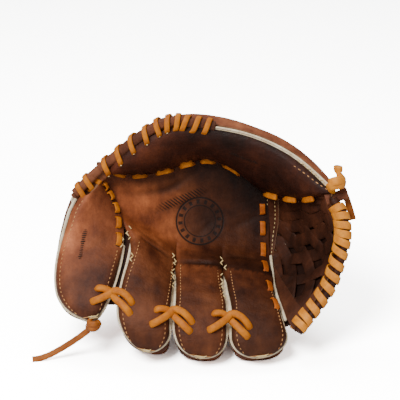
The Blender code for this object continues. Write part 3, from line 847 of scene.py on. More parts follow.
def weltOutline(seam, reach, count=44, farReach=None):
    shares = reach * (1 - np.linspace(0, 1, count) ** 0.6)
    shares = np.maximum(shares, tipStart)
    left = seam(np.zeros(count), shares)
    right = seam(np.ones(count), np.maximum(shares[::-1] * (farReach or reach) / reach, tipStart))
    return np.concatenate([left, right])


def weltPiece(name, outline, stands, width, body, nodes):
    ahead = unit(np.gradient(outline, axis=0))
    outward = unit(np.cross(ahead, stands))
    rings = [strip(outline + outward * weltLook["proud"], stands, width, weltLook["thickness"], 10, 0.6)]
    return done(stripPiece(name, rings, "raw edge"), body, "raw_edge", nodes)


def seamStands(seam, reach, count=44):
    shares = np.maximum(reach * (1 - np.linspace(0, 1, count) ** 0.6), tipStart)
    left = faceNormal(seam, np.full(count, 0.25), np.maximum(shares, 0.03))
    right = faceNormal(seam, np.full(count, 0.75), np.maximum(shares[::-1], 0.03))
    return np.concatenate([left, right])


weltLook = {"proud": 0.5, "width": 2.5, "thickness": 2.6, "pinkyWidth": 2.9,  # mm
            "reach": 0.985, "pinkyReach": 0.94, "pinkyInnerReach": 0.46}  # shares of the stall


def fingerWelts():
    for fingerName in fingerNames:
        seam = stalls[fingerName][0]
        weltPiece(fingerName + "Welt", weltOutline(seam, weltLook["reach"]),
                  seamStands(seam, weltLook["reach"]), weltLook["width"], "palm", [fingerName + "_welt"])


palmLeather()
fingerBacks()
fingerWelts()
for fingerName in fingerNames:
    layerPiece(fingerName + "Felt", stalls[fingerName][1], leatherThick + skinGap, fingerFelt, (0.33, 0.67),
               (0.38, 0.88), "wool felt", "palm", "felt", [fingerName + "_pad"], True)
layerPiece("palmFelt", palmBase, leatherThick + skinGap, feltThick, (0.2, 0.9), (0.15, 0.87),
           "wool felt", "palm", "felt", ["palm_pad"], True)
layerPiece("palmLiningLeather", palmBase, leatherThick + 2 * skinGap + feltThick, liningThick,
           (0.2, 0.9), (0.15, 0.87), "lining hide", "palm", "lining", ["palm_lining"])
say("palm and fingers cut")


def handBackFace(u, v):
    point = across(handBackLines, 1 - u, v)
    point[..., 2] = np.maximum(point[..., 2], 0)
    return point


def handBack():
    grid, u, v = layOut(handBackFace, 60, 60)
    ripple = 0.8 * np.sin(u * 9 + 2 * v) * np.sin(math.pi * v) * np.sin(math.pi * u)
    grid = grid + ripple[..., None] * faceNormal(handBackFace, u, v)
    grid[..., 2] = np.maximum(grid[..., 2], 0)
    tone = 1 - 0.25 * nearEdge(v, 0.04) - 0.2 * nearEdge(u, 0.03)
    obj = thicken(meshFrom("handBackLeather", [grid], [tone]), "back hide", "raw edge")
    done(obj, "palm", "leather", ["hand_back_shell"])
    layerPiece("handBackLining", handBackFace, leatherThick + skinGap, liningThick, (0.125, 0.875),
               (0.125, 0.875), "lining hide", "palm", "lining", ["hand_back_lining"])


handBack()

# the thumb and the little finger, in mm, shares and cells
thumbLook = {"crown": 9.0, "tipShare": 0.16, "backEnd": 0.58, "pleat": 0.75, "puff": 0.6, "backCrown": 8.5,
             "backPaintedLight": 1.8, "rimReach": 0.40, "rimWidth": 1.7, "cells": (7, 14), "cellSpan": 0.95}
pinkyLook = {"crown": 9.0, "tipShare": 0.3, "backEnd": 0.9, "dent": 0.8, "cells": (7, 10), "cellSpan": 0.955}
thumbSeam, thumbFront, thumbBackFace = makeStall(thumbCrease, thumbRim, thumbBack, thumbLook["crown"],
                                                 thumbLook["tipShare"], thumbLook["backEnd"], "left")
pinkySeam, pinkyFront, pinkyBackFace = makeStall(pinkyOuter, pinkyInner, pinkyBack, pinkyLook["crown"],
                                                 pinkyLook["tipShare"], pinkyLook["backEnd"], "right")


def thumbPieces():
    grid, u, v = layOut(thumbFront, 44, 120, (0.0, 1.0), (0.0008, 0.985), 1.25)
    pleats = np.sin(v * 150 + 2.2 * np.sin(u * 5 + v * 9)) * np.exp(-((u - 0.15) / 0.22) ** 2)
    pleats *= ease(0.36, 0.5, v) * (1 - ease(0.86, 0.97, v))
    puff = np.sin(v * 17 + 0.6) * np.sin(math.pi * u) * ease(0.05, 0.2, v) * (1 - ease(0.8, 0.95, v))
    rise = thumbLook["pleat"] * pleats + thumbLook["puff"] * puff
    grid = grid + rise[..., None] * faceNormal(thumbSeam, u, v)
    # painted light and shade on the pleats, crests paler and folds darker, darker along the edges; painted
    # light, paler towards the heel where the top light falls
    tone = 1 + 0.16 * pleats - 0.25 * nearEdge(u, 0.03)
    tone *= 1 + 1.1 * ease(0.5, 0.86, v) * ease(0.15, 0.75, u) + 0.5 * ease(0.7, 0.95, v)
    obj = thicken(meshFrom("thumbLeather", [grid], [tone]), "thumb hide in painted shade", "thumb hide in painted shade")
    done(obj, "thumb", "leather", ["thumb_front"])
    outside = sideways(thumbBackFace)
    grid, u, v = layOut(outside, 40, 60, (0.0, 0.96), (0.0008, 1), 1.3)
    crown = thumbLook["backCrown"] * np.sin(math.pi * np.clip(u, 0, 1)) ** 0.7 * (1 - u) * tipWidth(v, 0.3)
    grid = grid + crown[..., None] * faceNormal(outside, u, np.maximum(v, 0.03))
    # painted light: the thumb's back is brightened where the top light falls, darker along the edges
    tone = thumbLook["backPaintedLight"] - 0.3 * nearEdge(u, 0.04)
    obj = thicken(meshFrom("thumbBackLeather", [grid], [tone]), "back hide", "cut edge")
    done(obj, "thumb", "leather", ["thumb_back"])
    columns, rows = thumbLook["cells"]
    column = lambda k: 0.02 + thumbLook["cellSpan"] * k / columns
    row = lambda k: 0.02 + thumbLook["cellSpan"] * k / rows
    depth = leatherThick + skinGap
    below = depth + skinGap + feltThick
    layerPiece("thumbFelt", thumbFront, depth, feltThick, (column(2), column(6)), (row(2), row(7)),
               "wool felt", "thumb", "felt", ["thumb_pad"], True)
    layerPiece("thumbBoard", thumbFront, below, liningThick, (column(2), column(5)), (row(3), row(7)),
               "fibre board", "thumb", "stiffener", ["thumb_stiffener"])
    layerPiece("heelFelt", thumbFront, depth, feltThick, (column(2), column(6)), (row(8), row(13)),
               "wool felt", "thumb", "felt", ["heel_pad"], True)
    layerPiece("heelLiningLeather", thumbFront, below, liningThick, (column(2), column(6)),
               (row(8), row(13)), "lining hide", "thumb", "lining", ["heel_lining"])
    shares = np.maximum(thumbLook["rimReach"] * (1 - np.linspace(0, 1, 60) ** 0.7), tipStart)
    rim = thumbSeam(np.ones(60), shares)
    stands = faceNormal(thumbSeam, np.full(60, 0.75), np.maximum(shares, 0.03))
    outward = unit(np.cross(unit(np.gradient(rim, axis=0)), stands))
    outward *= np.sign((outward * (rim - thumbSeam(np.full(60, 0.5), shares))).sum(-1, keepdims=True))
    wide = thumbLook["rimWidth"]
    rings = [strip(rim + outward * 1.5 + stands * 0.6, stands, wide, wide, 10, 0.6),
             strip(rim - outward * 0.6 + stands * 1.0, stands, wide - 0.1, wide, 10, 0.6)]
    done(stripPiece("thumbWelt", rings, "raw edge"), "thumb", "raw_edge", ["thumb_welt"])
    tip = np.arange(36, 59, 2)
    slant = np.where(np.arange(len(tip)) % 2, 0.9, -0.9)[:, None]
    runs = outward[tip] + slant * unit(np.gradient(rim, axis=0))[tip]
    done(sew("thumbTipThread", rim[tip] + outward[tip] * 0.5 + stands[tip] * 2.0, runs, stands[tip],
             "cream thread", (5.0, 1.1, 1.0), 17, 0.2), "thumb", "raw_edge")


def pinkyPieces():
    grid, u, v = layOut(pinkyFront, 40, 84, (0, 1), (0.0008, 0.985), 1.5)
    dents = np.exp(-((v - 0.42 - 0.12 * u) / 0.035) ** 2) + 0.7 * np.exp(-((v - 0.6 + 0.1 * u) / 0.04) ** 2)
    dents *= np.sin(math.pi * u)
    grid = grid - (pinkyLook["dent"] * dents)[..., None] * faceNormal(pinkySeam, u, v)
    # painted shade in the dents, darker along the edges and towards the tip; a painted highlight along the
    # outer side
    tone = 1 - 0.2 * dents - 0.3 * nearEdge(u, 0.04) + 0.35 * (1 - ease(0.1, 0.6, u))
    tone *= 0.55 + 0.75 * ease(0.25, 0.62, v)
    obj = thicken(meshFrom("pinkyLeather", [grid], [tone]), "finger hide", "cut edge")
    done(obj, "pinky", "leather", ["pinky_front"])
    grid, u, v = layOut(sideways(pinkyBackFace), 32, 56, (0, 1), (0.0008, 1), 1.4)
    tone = 1 - 0.25 * nearEdge(u, 0.05)
    obj = thicken(meshFrom("pinkyBackLeather", [grid], [tone]), "back hide", "raw edge")
    done(obj, "pinky", "leather", ["pinky_back"])
    columns, rows = pinkyLook["cells"]
    column = lambda k: k / columns
    row = lambda k: 0.015 + pinkyLook["cellSpan"] * k / rows
    depth = leatherThick + skinGap
    below = depth + skinGap + feltThick
    layerPiece("pinkyFelt", pinkyFront, depth, feltThick, (column(2), column(5)), (row(3), row(9)),
               "wool felt", "pinky", "felt", ["pinky_pad"], True)
    layerPiece("pinkyBoard", pinkyFront, below, liningThick, (column(2), column(5)), (row(3), row(8)),
               "fibre board", "pinky", "stiffener", ["pinky_stiffener"])
    reach = weltLook["pinkyReach"]
    weltPiece("pinkyWelt", weltOutline(pinkySeam, reach, farReach=weltLook["pinkyInnerReach"]),
              seamStands(pinkySeam, reach), weltLook["pinkyWidth"], "pinky", ["pinky_welt"])


thumbPieces()
pinkyPieces()
say("thumb, heel and little finger cut")

leather = LeatherMap()
for fingerName in fingerNames:
    leather.add(stalls[fingerName][1], (0.03, 0.97), (0.02, 1))
leather.add(palmFace)
leather.add(pinkyFront, (0.03, 0.97), (0.02, 1))
leather.ready()

# diagonal strips woven over and under each other, in mm, degrees and shares of the web
webLook = {"stripWidth": 12.6, "gap": 0.5, "thickness": 1.7, "lift": 1.0, "wide": 62.0, "tall": 112.0,
           "lean": 38, "leanBack": 6, "reach": (-75, 75, 220), "across": (0.03, 0.975),
           "along": (0.02, 0.965), "backing": 1.2, "bandThick": 1.8, "bandTone": 0.55,
           "bands": (((0.0, 0.14), (0.0, 0.97)), ((0.86, 1.0), (0.0, 0.97)), ((0.1, 0.9), (0.0, 0.07)),
                     ((0.04, 0.96), (0.91, 1.0)))}


def webFace(u, v):
    return across(webRows, v, u)


def webStrips():
    rings, tones = [], []
    pitch = webLook["stripWidth"] + webLook["gap"]
    size = np.array([webLook["wide"], webLook["tall"]])
    low, high = np.array([webLook["across"], webLook["along"]]).T
    crossing = math.sin(math.radians(2 * webLook["lean"] + webLook["leanBack"]))
    for lean, side in ((webLook["lean"], 1), (180 - webLook["lean"] - webLook["leanBack"], -1)):
        turn = math.radians(lean)
        along = np.array([math.cos(turn), math.sin(turn)])
        over = np.array([-along[1], along[0]])
        for k in range(-9, 10):
            start = size / 2 + over * pitch * (k + 0.5)
            reach = np.linspace(*webLook["reach"])
            flat = start + reach[:, None] * along
            inside = ((flat > low * size) & (flat < high * size)).all(axis=1)
            if inside.sum() < 9:
                continue
            reach, flat = reach[inside], flat[inside]
            u, v = (flat / size).T
            stands = faceNormal(webFace, u, v)
            weave = np.sin(math.pi * (reach / pitch / crossing + k))
            points = webFace(u, v) + (0.4 + side * webLook["lift"] * weave)[:, None] * stands
            ends = np.minimum(np.arange(len(reach)), np.arange(len(reach))[::-1])
            width = webLook["stripWidth"] * np.clip(0.55 + ends * 0.2, 0.5, 1)
            rings.append(strip(points, stands, width, webLook["thickness"], 10, 0.45))
            # painted light and shade: a strip is paler where it passes over and darker where it passes under
            tones.append(0.95 + 0.45 * (side * weave > 0))
    return rings, tones


webBend = ((100, 0, 25), (100, -15.1, 75.5))  # where the web starts and ends


def webPieces():
    grid, u, v = layOut(raised(webFace, -1.6), 40, 48, (0.03, 0.96), (0.02, 0.955))
    tone = np.full_like(u, 0.5)
    obj = thicken(meshFrom("webBacking", [grid], [tone]), "dark web hide with painted shade", "dark web hide with painted shade",
                  webLook["backing"], 0)
    foldAcross(obj, "palm", "thumb", *webBend, "leather_dark", ["web_index_panel", "web_thumb_panel"])
    rings, tones = webStrips()
    obj = stripPiece("webWeave", rings, "dark web hide with painted shade", tones)
    obj.data.materials.append(finishes["strip edge"])
    edgeFaces(obj)
    foldAcross(obj, "palm", "thumb", *webBend, "leather_dark")
    for k, (uSpan, vSpan) in enumerate(webLook["bands"]):
        grid, u, v = layOut(raised(webFace, 2.6), 16, 60, uSpan, vSpan)
        tone = np.full_like(u, webLook["bandTone"])
        obj = thicken(meshFrom("webBand%d" % (k + 1), [grid], [tone]), "binding hide",
                      "cut edge", webLook["bandThick"])
        foldAcross(obj, "palm", "thumb", *webBend, "leather_dark")


def edgeFaces(obj):  # the strips' sides show the cut edge
    mesh = obj.data
    normals = np.empty(len(mesh.polygons) * 3)
    mesh.polygons.foreach_get("normal", normals)
    normals = normals.reshape(-1, 3)
    centres = np.empty(len(mesh.polygons) * 3)
    mesh.polygons.foreach_get("center", centres)
    place = centres.reshape(-1, 3) * 1000 + draftOrigin
    u, v = np.meshgrid(np.linspace(0, 1, 30), np.linspace(0, 1, 40))
    points, stands = webFace(u, v).reshape(-1, 3), faceNormal(webFace, u, v).reshape(-1, 3)
    tree = kdtree.KDTree(len(points))
    for i, point in enumerate(points):
        tree.insert(point, i)
    tree.balance()
    nearest = np.array([tree.find(point)[1] for point in place])
    flat = np.abs((stands[nearest] * normals).sum(-1))
    mesh.polygons.foreach_set("material_index", (flat < 0.45).astype(np.int32))
    mesh.update()


webPieces()
say("web woven")


def coilRound(line, turns, acrossReach, throughReach, start, end, inward, shift, steps=26):
    share = np.linspace(start, end, int(turns * steps) + 1)
    centre = curveAt(line, share)
    ahead = unit(curveAt(line, np.minimum(share + 0.01, 1)) - curveAt(line, np.maximum(share - 0.01, 0)))
    side = inward(share)
    side = unit(side - (side * ahead).sum(-1, keepdims=True) * ahead)
    up = np.cross(side, ahead)
    angle = 2 * math.pi * (share - start) / (end - start) * turns
    outward = np.cos(angle)[:, None] * side / acrossReach + np.sin(angle)[:, None] * up / throughReach
    points = centre + (shift + acrossReach * np.cos(angle))[:, None] * side \
        + (throughReach * np.sin(angle))[:, None] * up
    return points, unit(outward)


def webInward(share):
    v = 1 - np.clip(share, 0.02, 1)
    return webFace(np.full_like(v, 0.55), np.clip(v, 0.03, 0.97)) - curveAt(webEdge, share)


# rolls and flanges are width and thickness in mm, coils reach across and through the roll
bindingLook = {"roll": (7.6, 8.6), "flange": (11.0, 1.8), "flangeIn": 6.0, "turns": 13, "coil": (9.4, 5.8),
               "coilSpan": (0.05, 0.95), "coilShift": 3.9, "lace": (7.2, 1.7)}
heelLook = {"roll": (9.5, 6.2), "flange": (13.0, 1.6), "bridge": (8.8, 5.6), "bridgeFlange": (13.0, 1.4),
            "turns": 13, "coil": (7.6, 4.8), "coilShift": 3.4, "lace": (5.0, 2.0),
            "split": 0.2, "gap": 0.024, "bridgeReach": 0.05}


def bindingPieces():
    share = np.linspace(0, 1, 90)
    path = curveAt(webEdge, share)
    inward = unit(webInward(share))
    swell = 1 + 0.05 * np.sin(share * 60)
    wide, thick = bindingLook["roll"]
    flat = unit(np.cross(unit(np.gradient(path, axis=0)), inward))
    rings = [strip(path, inward, wide * swell, thick * swell, 18, 0.85),
             strip(path + inward * bindingLook["flangeIn"], flat, *bindingLook["flange"], 8, 0.5)]
    obj = stripPiece("webBinding", rings, "dark web hide with painted shade")
    foldAcross(obj, "palm", "thumb", *webBend, "leather_dark", ["web_binding"])
    points, stands = coilRound(webEdge, bindingLook["turns"], *bindingLook["coil"], *bindingLook["coilSpan"],
                               webInward, bindingLook["coilShift"])
    rings = [strip(points, stands, *bindingLook["lace"], 12, 0.5)]
    obj = stripPiece("webEdgeLace", rings, "edge lace")
    foldAcross(obj, "palm", "thumb", *webBend, "lace", ["web_edge_lace"])


def heelInward(share):
    return np.broadcast_to(np.array([0, -0.25, -1.0]), (len(share), 3))


def heelRings(path, roll, flange):
    return [strip(path - (0, 0, 2.2), (0, -1, 0.2), *roll, 16, 0.85),
            strip(path - (0, -2.5, 9.0), (0, -1, 0.2), *flange, 8, 0.5)]


def heelPieces():
    split, gap = heelLook["split"], heelLook["gap"]
    for name, body, start, end in (("pinkyHeel", "pinky", 0.0, split - gap),
                                   ("heel", "thumb", split + gap, 1.0)):
        node = "pinky_heel" if body == "pinky" else "heel"
        path = curveAt(heelLine, np.linspace(start, end, 80 if body == "thumb" else 24))
        rings = heelRings(path, heelLook["roll"], heelLook["flange"])
        done(stripPiece(name + "Roll", rings, "binding hide"), body, "leather", [node + "_roll"])
        turns = max(2, round(heelLook["turns"] * (end - start)))
        points, stands = coilRound(heelLine, turns, *heelLook["coil"], start + 0.008, end - 0.012,
                                   heelInward, heelLook["coilShift"])
        rings = [strip(points, stands, *heelLook["lace"], 12, 0.6)]
        done(stripPiece(name + "Lace", rings, "rawhide lace"), body, "lace", [node + "_lace"])
        lowest = [turn[np.argmin(turn[:, 2])] for turn in np.array_split(points, turns)]
        places = np.array(lowest) + (0, -0.6, -1.2)
        runs = np.broadcast_to(np.array([1.0, 0, 0]), places.shape)
        stands = np.broadcast_to(np.array([0, -1.0, 0.2]), places.shape)
        done(sew(name + "Punches", places, runs, stands, "cream thread", (2.2, 1.1, 0.9), 21, 0.3),
             body, "raw_edge")
    # a soft bridge between the two rolls
    reach = heelLook["bridgeReach"]
    path = curveAt(heelLine, np.linspace(split - reach, split + reach, 16))
    rings = heelRings(path, heelLook["bridge"], heelLook["bridgeFlange"])
    near, far = curveAt(heelLine, np.array([split + gap, split - gap]))
    bridge = stripPiece("heelBridge", rings, "binding hide")
    foldAcross(bridge, "palm", "pinky", near, far, "leather")


bindingPieces()
heelPieces()


# laces that run in and out of punched holes: u and v on the surface, sizes in mm
runningLaces = (
    {"name": "thumbCreaseLace", "surface": thumbFront, "u": 0.055, "v": (0.955, 0.36), "dashes": 6,
     "body": "thumb", "nodes": ["thumb_crease_lace"], "width": 7.0, "shown": 0.56, "high": 4.4, "deep": 8.0,
     "facing": (0, -0.93, 0.30)},
    {"name": "thumbWebLace", "surface": thumbFront, "u": 0.075, "v": (0.29, 0.055), "dashes": 3,
     "body": "thumb", "nodes": ["thumb_web_lace"], "width": 7.0, "shown": 0.58, "high": 4.4, "deep": 8.0,
     "facing": (0, -0.93, 0.30)},
    {"name": "pinkyCreaseLace", "surface": pinkyFront, "u": 0.92, "v": (0.95, 0.44), "dashes": 5,
     "body": "pinky", "nodes": ["pinky_crease_lace"], "width": 5.4, "shown": 0.66, "high": 2.2, "deep": 6.0},
    {"name": "indexWebLace", "surface": palmFace, "u": 0.95, "v": (0.76, 0.0), "dashes": 4,
     "body": "palm", "nodes": ["index_web_lace"], "width": 5.4, "finish": "deeper red lace", "shown": 0.6},
    {"name": "indexFingerLace", "surface": stalls["index"][1], "u": 0.90, "v": (0.97, 0.50), "dashes": 2,
     "body": "palm", "nodes": [], "width": 5.6, "finish": "deeper red lace", "shown": 0.5},
)


def runningLace(name, surface, u, v, dashes, body, nodes, width, shown, finish="rawhide lace", high=1.7,
                deep=4.2, facing=None):
    start, end = v
    share = np.linspace(0, 1, dashes * 22 + 1)
    beat = (share * dashes) % 1
    beat[-1] = 1.0
    away = np.abs(beat - 0.5) / (shown / 2)  # 1 where the lace dives into its hole
    shownHeight = high * np.sqrt(np.maximum(0, 1 - away ** 6)) + 0.2
    height = np.where(away < 1, shownHeight, -deep * ease(1, 1.25, away))
    v = start + (end - start) * share
    uLine = np.full_like(v, u)
    wander = 0.6 * np.sin(share * dashes * 2.1)
    stands = faceNormal(surface, uLine, v)
    if facing is not None:
        stands = np.broadcast_to(unit(np.array(facing)), (len(v), 3))
    points = surface(uLine, v)
    ahead = unit(np.gradient(points, axis=0))
    points = points + height[:, None] * stands + wander[:, None] * np.cross(ahead, stands)
    turn = np.minimum((share * dashes).astype(int), dashes - 1)
    rings = []
    for k in range(dashes):
        near = (turn == k) & (away < 1.3)
        rings.append(strip(points[near], stands[near], width, 1.6, 12, 0.55))
    done(stripPiece(name, rings, finish), body, "lace", nodes)
    # dark discs at the holes: painted shadow inside each hole
    holes = [(k + 0.5 + s * shown / 2) / dashes for k in range(dashes) for s in (-1, 1)]
    v = start + (end - start) * np.array(holes)
    uLine = np.full_like(v, u)
    stands = faceNormal(surface, uLine, v)
    runs = surface(uLine, v + 0.01) - surface(uLine, v - 0.01)
    done(sew(name + "Holes", surface(uLine, v) + 0.1 * stands, runs, stands, "hole shadow and tool mark",
             (3.4, width * 1.05, 0.8), 11, 0.1), body, "lace")


for lace in runningLaces:
    runningLace(**lace)


# fat ties that cross over neighbouring stalls
tieLook = {"width": 6.8, "thickness": 5.2, "smooth": 14}
tieStrands = (  # x and z from the tie's middle, stand-off from the hide
    [(-18.5, -3.5, -4.0), (-17.5, -3.2, 0.4), (-14, -2.4, 2.2), (-7, 0.0, 3.8), (0, 2.2, 6.4), (7, 2.6, 6.2),
     (13, 1.0, 3.6), (17.5, -2.0, 1.0), (19, -3.4, -4.0)],
    [(-14, 6.6, -4.0), (-13.4, 6.2, 0.2), (-10, 5.6, 1.8), (-4, 3.4, 2.4), (2, 0.2, 2.6), (8, -3.4, 2.6),
     (13, -6.8, 2.2), (16, -9.0, 0.6), (17, -9.8, -4.0)],
)


def tie(name, x, z):
    rings = []
    for strand in tieStrands:
        route = curveAt(strand, np.linspace(0, 1, 46))
        points, stands = [], []
        for a, b, lift in route:
            place, normal = leather.at(x + a, z + b)
            points.append(np.array([x + a, place[1], z + b]) + normal * lift)
            stands.append(normal)
        points, stands = np.array(points), np.array(stands)
        for _ in range(tieLook["smooth"]):
            points[1:-1] = (points[:-2] + 2 * points[1:-1] + points[2:]) / 4
            stands[1:-1] = unit(stands[:-2] + 2 * stands[1:-1] + stands[2:])
        rings.append(strip(points, stands, tieLook["width"], tieLook["thickness"], 14, 0.8))
    return stripPiece(name, rings, "rawhide lace")


# what closes the slits between the stalls from behind, width and thickness in mm; the dark gussets are
# partly the glove's back leather and partly painted shade seen through the slits
gussetLook = {"stands": (0, -1, 0.4), "pinky": (15.0, 1.6), "index": (14.0, 1.6), "lining": (4.6, 1.2)}
pinkyBend = ((-70, 16, 60), (-92, 16, 60))  # where a piece starts and ends


def gussets():
    inner = curveAt(pinkyInner, np.linspace(0.16, 0.60, 40))
    outer = curveAt(ringLeft, np.linspace(0.30, 1.0, 40))
    path = (inner + outer) / 2 + (0, 7.0, -1.0)
    rings = [strip(path, gussetLook["stands"], *gussetLook["pinky"], 12, 0.5)]
    foldAcross(stripPiece("pinkyGusset", rings, "dark web hide with painted shade"), "palm", "pinky", *pinkyBend,
               "leather_dark")
    rings = [strip(curveAt(rail, np.linspace(0.3, 0.97, 30)) + (0, 2.2, -0.8), gussetLook["stands"],
                   *gussetLook["lining"], 8, 0.5) for rail in (ringMiddle, middleIndex)]
    done(stripPiece("slitLinings", rings, "raw edge"), "palm", "raw_edge")
    path = curveAt(indexRight, np.linspace(0.40, 1.0, 40)) + (3.0, 7.5, -1.0)
    rings = [strip(path, gussetLook["stands"], *gussetLook["index"], 12, 0.5)]
    done(stripPiece("indexGusset", rings, "dark web hide with painted shade"), "palm", "leather_dark")


gussets()
foldAcross(tie("pinkyRingTie", -80, 60), "palm", "pinky", *pinkyBend, "lace", ["pinky_ring_lace"])
for name, x, z, node in (("ringMiddleTie", -25.5, 46, "ring_middle_lace"),
                         ("middleIndexTie", 26.5, 41, "middle_index_lace")):
    done(tie(name, x, z), "palm", "lace", [node])
say("laced")

# the pale welt beside the web, sewn to the index side
bandLook = {"offset": (1.5, -2.6, 1.2), "width": 3.0, "thickness": 2.2, "smooth": 6}
bandPath = np.concatenate([curveAt(indexRight, np.linspace(0.50, 1, 30)),
                           curveAt(palmLines[3], np.linspace(0.06, 0.26, 10))]) + bandLook["offset"]
for _ in range(bandLook["smooth"]):
    bandPath[1:-1] = (bandPath[:-2] + 2 * bandPath[1:-1] + bandPath[2:]) / 4
rings = [strip(bandPath, (-0.55, -0.8, 0.2), bandLook["width"], bandLook["thickness"], 10, 0.6)]
done(stripPiece("indexWebWelt", rings, "raw edge"), "palm", "raw_edge", ["index_web_welt"])


knotLook = {  # routes, width and thickness in mm
    "web": {"route": [(121, 65, 148), (118, 60, 153), (121, 55, 157), (128, 55, 158), (130, 60, 157),
                      (126, 64, 156), (121, 62, 155), (119, 57, 159), (124, 54, 162), (129, 58, 162),
                      (126, 62, 166), (125, 62, 173)], "width": 8.6, "thickness": 5.2},
    "tail": {"route": [(-97, 24, 42), (-101, 15, 39), (-99, 10, 35), (-94, 10, 36), (-92, 16, 38),
                       (-96, 20, 35), (-102, 17, 32), (-101, 12, 38), (-96, 9, 40), (-93, 13, 36),
                       (-97, 20, 33)], "width": 5.4, "thickness": 4.2},
}
hangerLook = {"route": [(126, 64, 158), (130, 67, 150), (135, 68, 138), (139, 67, 126), (141, 66, 119)],
              "width": 6.0, "thickness": 1.8}
endLook = {"from": (115, 62, 140), "to": (135, 62, 147), "width": 10.0, "thickness": 2.4}
tailLook = {"width": 5.8, "thickness": 2.2, "points": 26}


def knot(name, look, body, nodes, finish):
    points = curveAt(look["route"], np.linspace(0, 1, 60))
    stands = points - points.mean(axis=0) + (0, -0.5, 0.3)
    rings = [strip(points, stands, look["width"], look["thickness"], 12, 0.7)]
    return done(stripPiece(name, rings, finish), body, "lace", nodes)


def laceTail():
    path = curveAt(tailRoute, np.linspace(0, 1, tailLook["points"]))
    rings = [strip(path, (0.1, -0.8, 0.6), tailLook["width"], tailLook["thickness"], 12, 0.5)]
    piece = done(stripPiece("laceTail", rings, "tail lace"), "pinky", "lace", ["lace_tail"])


knot("webKnot", knotLook["web"], "thumb", ["web_knot"], "edge lace")
hangerPath = curveAt(hangerLook["route"], np.linspace(0, 1, 40))
rings = [strip(hangerPath, (0, -1, 0.35), hangerLook["width"], hangerLook["thickness"], 12, 0.6)]
done(stripPiece("webHanger", rings, "tail lace"), "thumb", "lace")
endPath = np.linspace(endLook["from"], endLook["to"], 24)
rings = [strip(endPath, (0, -1, 0.4), endLook["width"], endLook["thickness"], 12, 0.3)]
done(stripPiece("bindingEnd", rings, "binding hide"), "thumb", "leather_dark")
knot("tailKnot", knotLook["tail"], "pinky", ["tail_knot"], "tail lace")
laceTail()
say("knots tied")


strapLook = {"width": 30, "tab": (0.55, 0.86), "tabLift": 5.8, "tabRise": 8.0, "tabInset": 0.12,
             "tabRound": 0.22, "patch": ((0.1, 0.34), (0.18, 0.82)), "patchLift": 2.5}  # mm and shares


def strapFace(u, v):
    return curveAt(strapLine, 1 - u) + ((v - 0.5) * strapLook["width"])[..., None] * strapLean


def tabFace(u, v):
    start, end = strapLook["tab"]
    inset = strapLook["tabInset"]
    reach = 1 - u
    share = start + (end - start) * reach
    point = raised(strapFace, strapLook["tabLift"])(1 - share, inset + (1 - 2 * inset) * v)
    return point + (strapLook["tabRise"] * reach)[..., None] * np.array([0, 0, 1.0])


def roundEnd(u, v, share):
    away = np.abs(u) / share
    return 0.5 + (v - 0.5) * np.sqrt(np.maximum(0.02, 1 - np.maximum(0, 1 - away) ** 2))


def strapPieces():
    grid, u, v = layOut(strapFace, 80, 20)
    tone = 1 - 0.25 * nearEdge(v, 0.05)
    obj = thicken(meshFrom("wristStrap", [grid], [tone]), "dark web hide with painted shade", "raw edge")
    done(obj, "palm", "leather_dark", ["wrist_strap"])
    layerPiece("strapLining", strapFace, leatherThick + skinGap, liningThick, (1 / 7, 6 / 7), (0.02, 0.98),
               "wool felt", "palm", "felt", ["strap_lining"], cells=40)
    layerPiece("strapPatch", raised(strapFace, strapLook["patchLift"]), 0, liningThick, *strapLook["patch"],
               "hook and loop", "palm", "hook_and_loop", ["strap_patch"])
    rounded = lambda u, v: tabFace(u, roundEnd(u, v, strapLook["tabRound"]))
    grid, u, v = layOut(rounded, 34, 16, (0.004, 1))
    obj = thicken(meshFrom("strapTab", [grid]), "dark web hide with painted shade", "raw edge")
    done(obj, "tab", "leather_dark", ["strap_tab"])


strapPieces()
say("strap cut")


# length, width and height of a stitch in mm
threadLook = {"row": (2.6, 0.8, 0.7), "broad row": (2.8, 0.8, 0.7), "whipped": (4.8, 1.25, 1.1),
              "tip": (7.0, 1.0, 1.0), "tick": (4.0, 0.9, 0.5), "pitch": 4.0}


def seamRow(surface, u, vStart, vEnd, pitch=threadLook["pitch"], lift=0.25):
    fine = np.linspace(vStart, vEnd, 400)
    uLine = np.full_like(fine, u)
    path = surface(uLine, fine)
    reach = np.concatenate([[0], np.cumsum(np.linalg.norm(np.diff(path, axis=0), axis=1))])
    count = max(3, int(reach[-1] / pitch))
    v = np.interp(np.linspace(0.3, reach[-1] - 0.3, count), reach, fine)
    return rowAt(surface, np.full_like(v, u), v, lift)


def rowAt(surface, u, v, lift):
    stands = faceNormal(surface, u, v)
    places = surface(u, v)
    return places + lift * stands, np.gradient(places, axis=0), stands


def stacked(rows):
    return [np.concatenate([row[k] for row in rows]) for k in range(3)]


def sewRows(name, rows, body, finish, size, seed):
    return done(sew(name, *stacked(rows), finish, size, seed), body, "raw_edge")


def whipped(x, z, tall, wide, count, turn):
    places, runs, stands = [], [], []
    for k in range(count):
        share = k / (count - 1)
        lean = 0.9 if k % 2 else -0.9
        a, b = wide * math.sin(share * 9 + turn) * 0.25, tall * (share - 0.2)
        place, normal = leather.at(x + a, z + b)
        places.append(place + normal * 1.5)
        runs.append((math.cos(lean), -0.2, math.sin(lean)))
        stands.append(normal)
    return np.array(places), np.array(runs), np.array(stands)


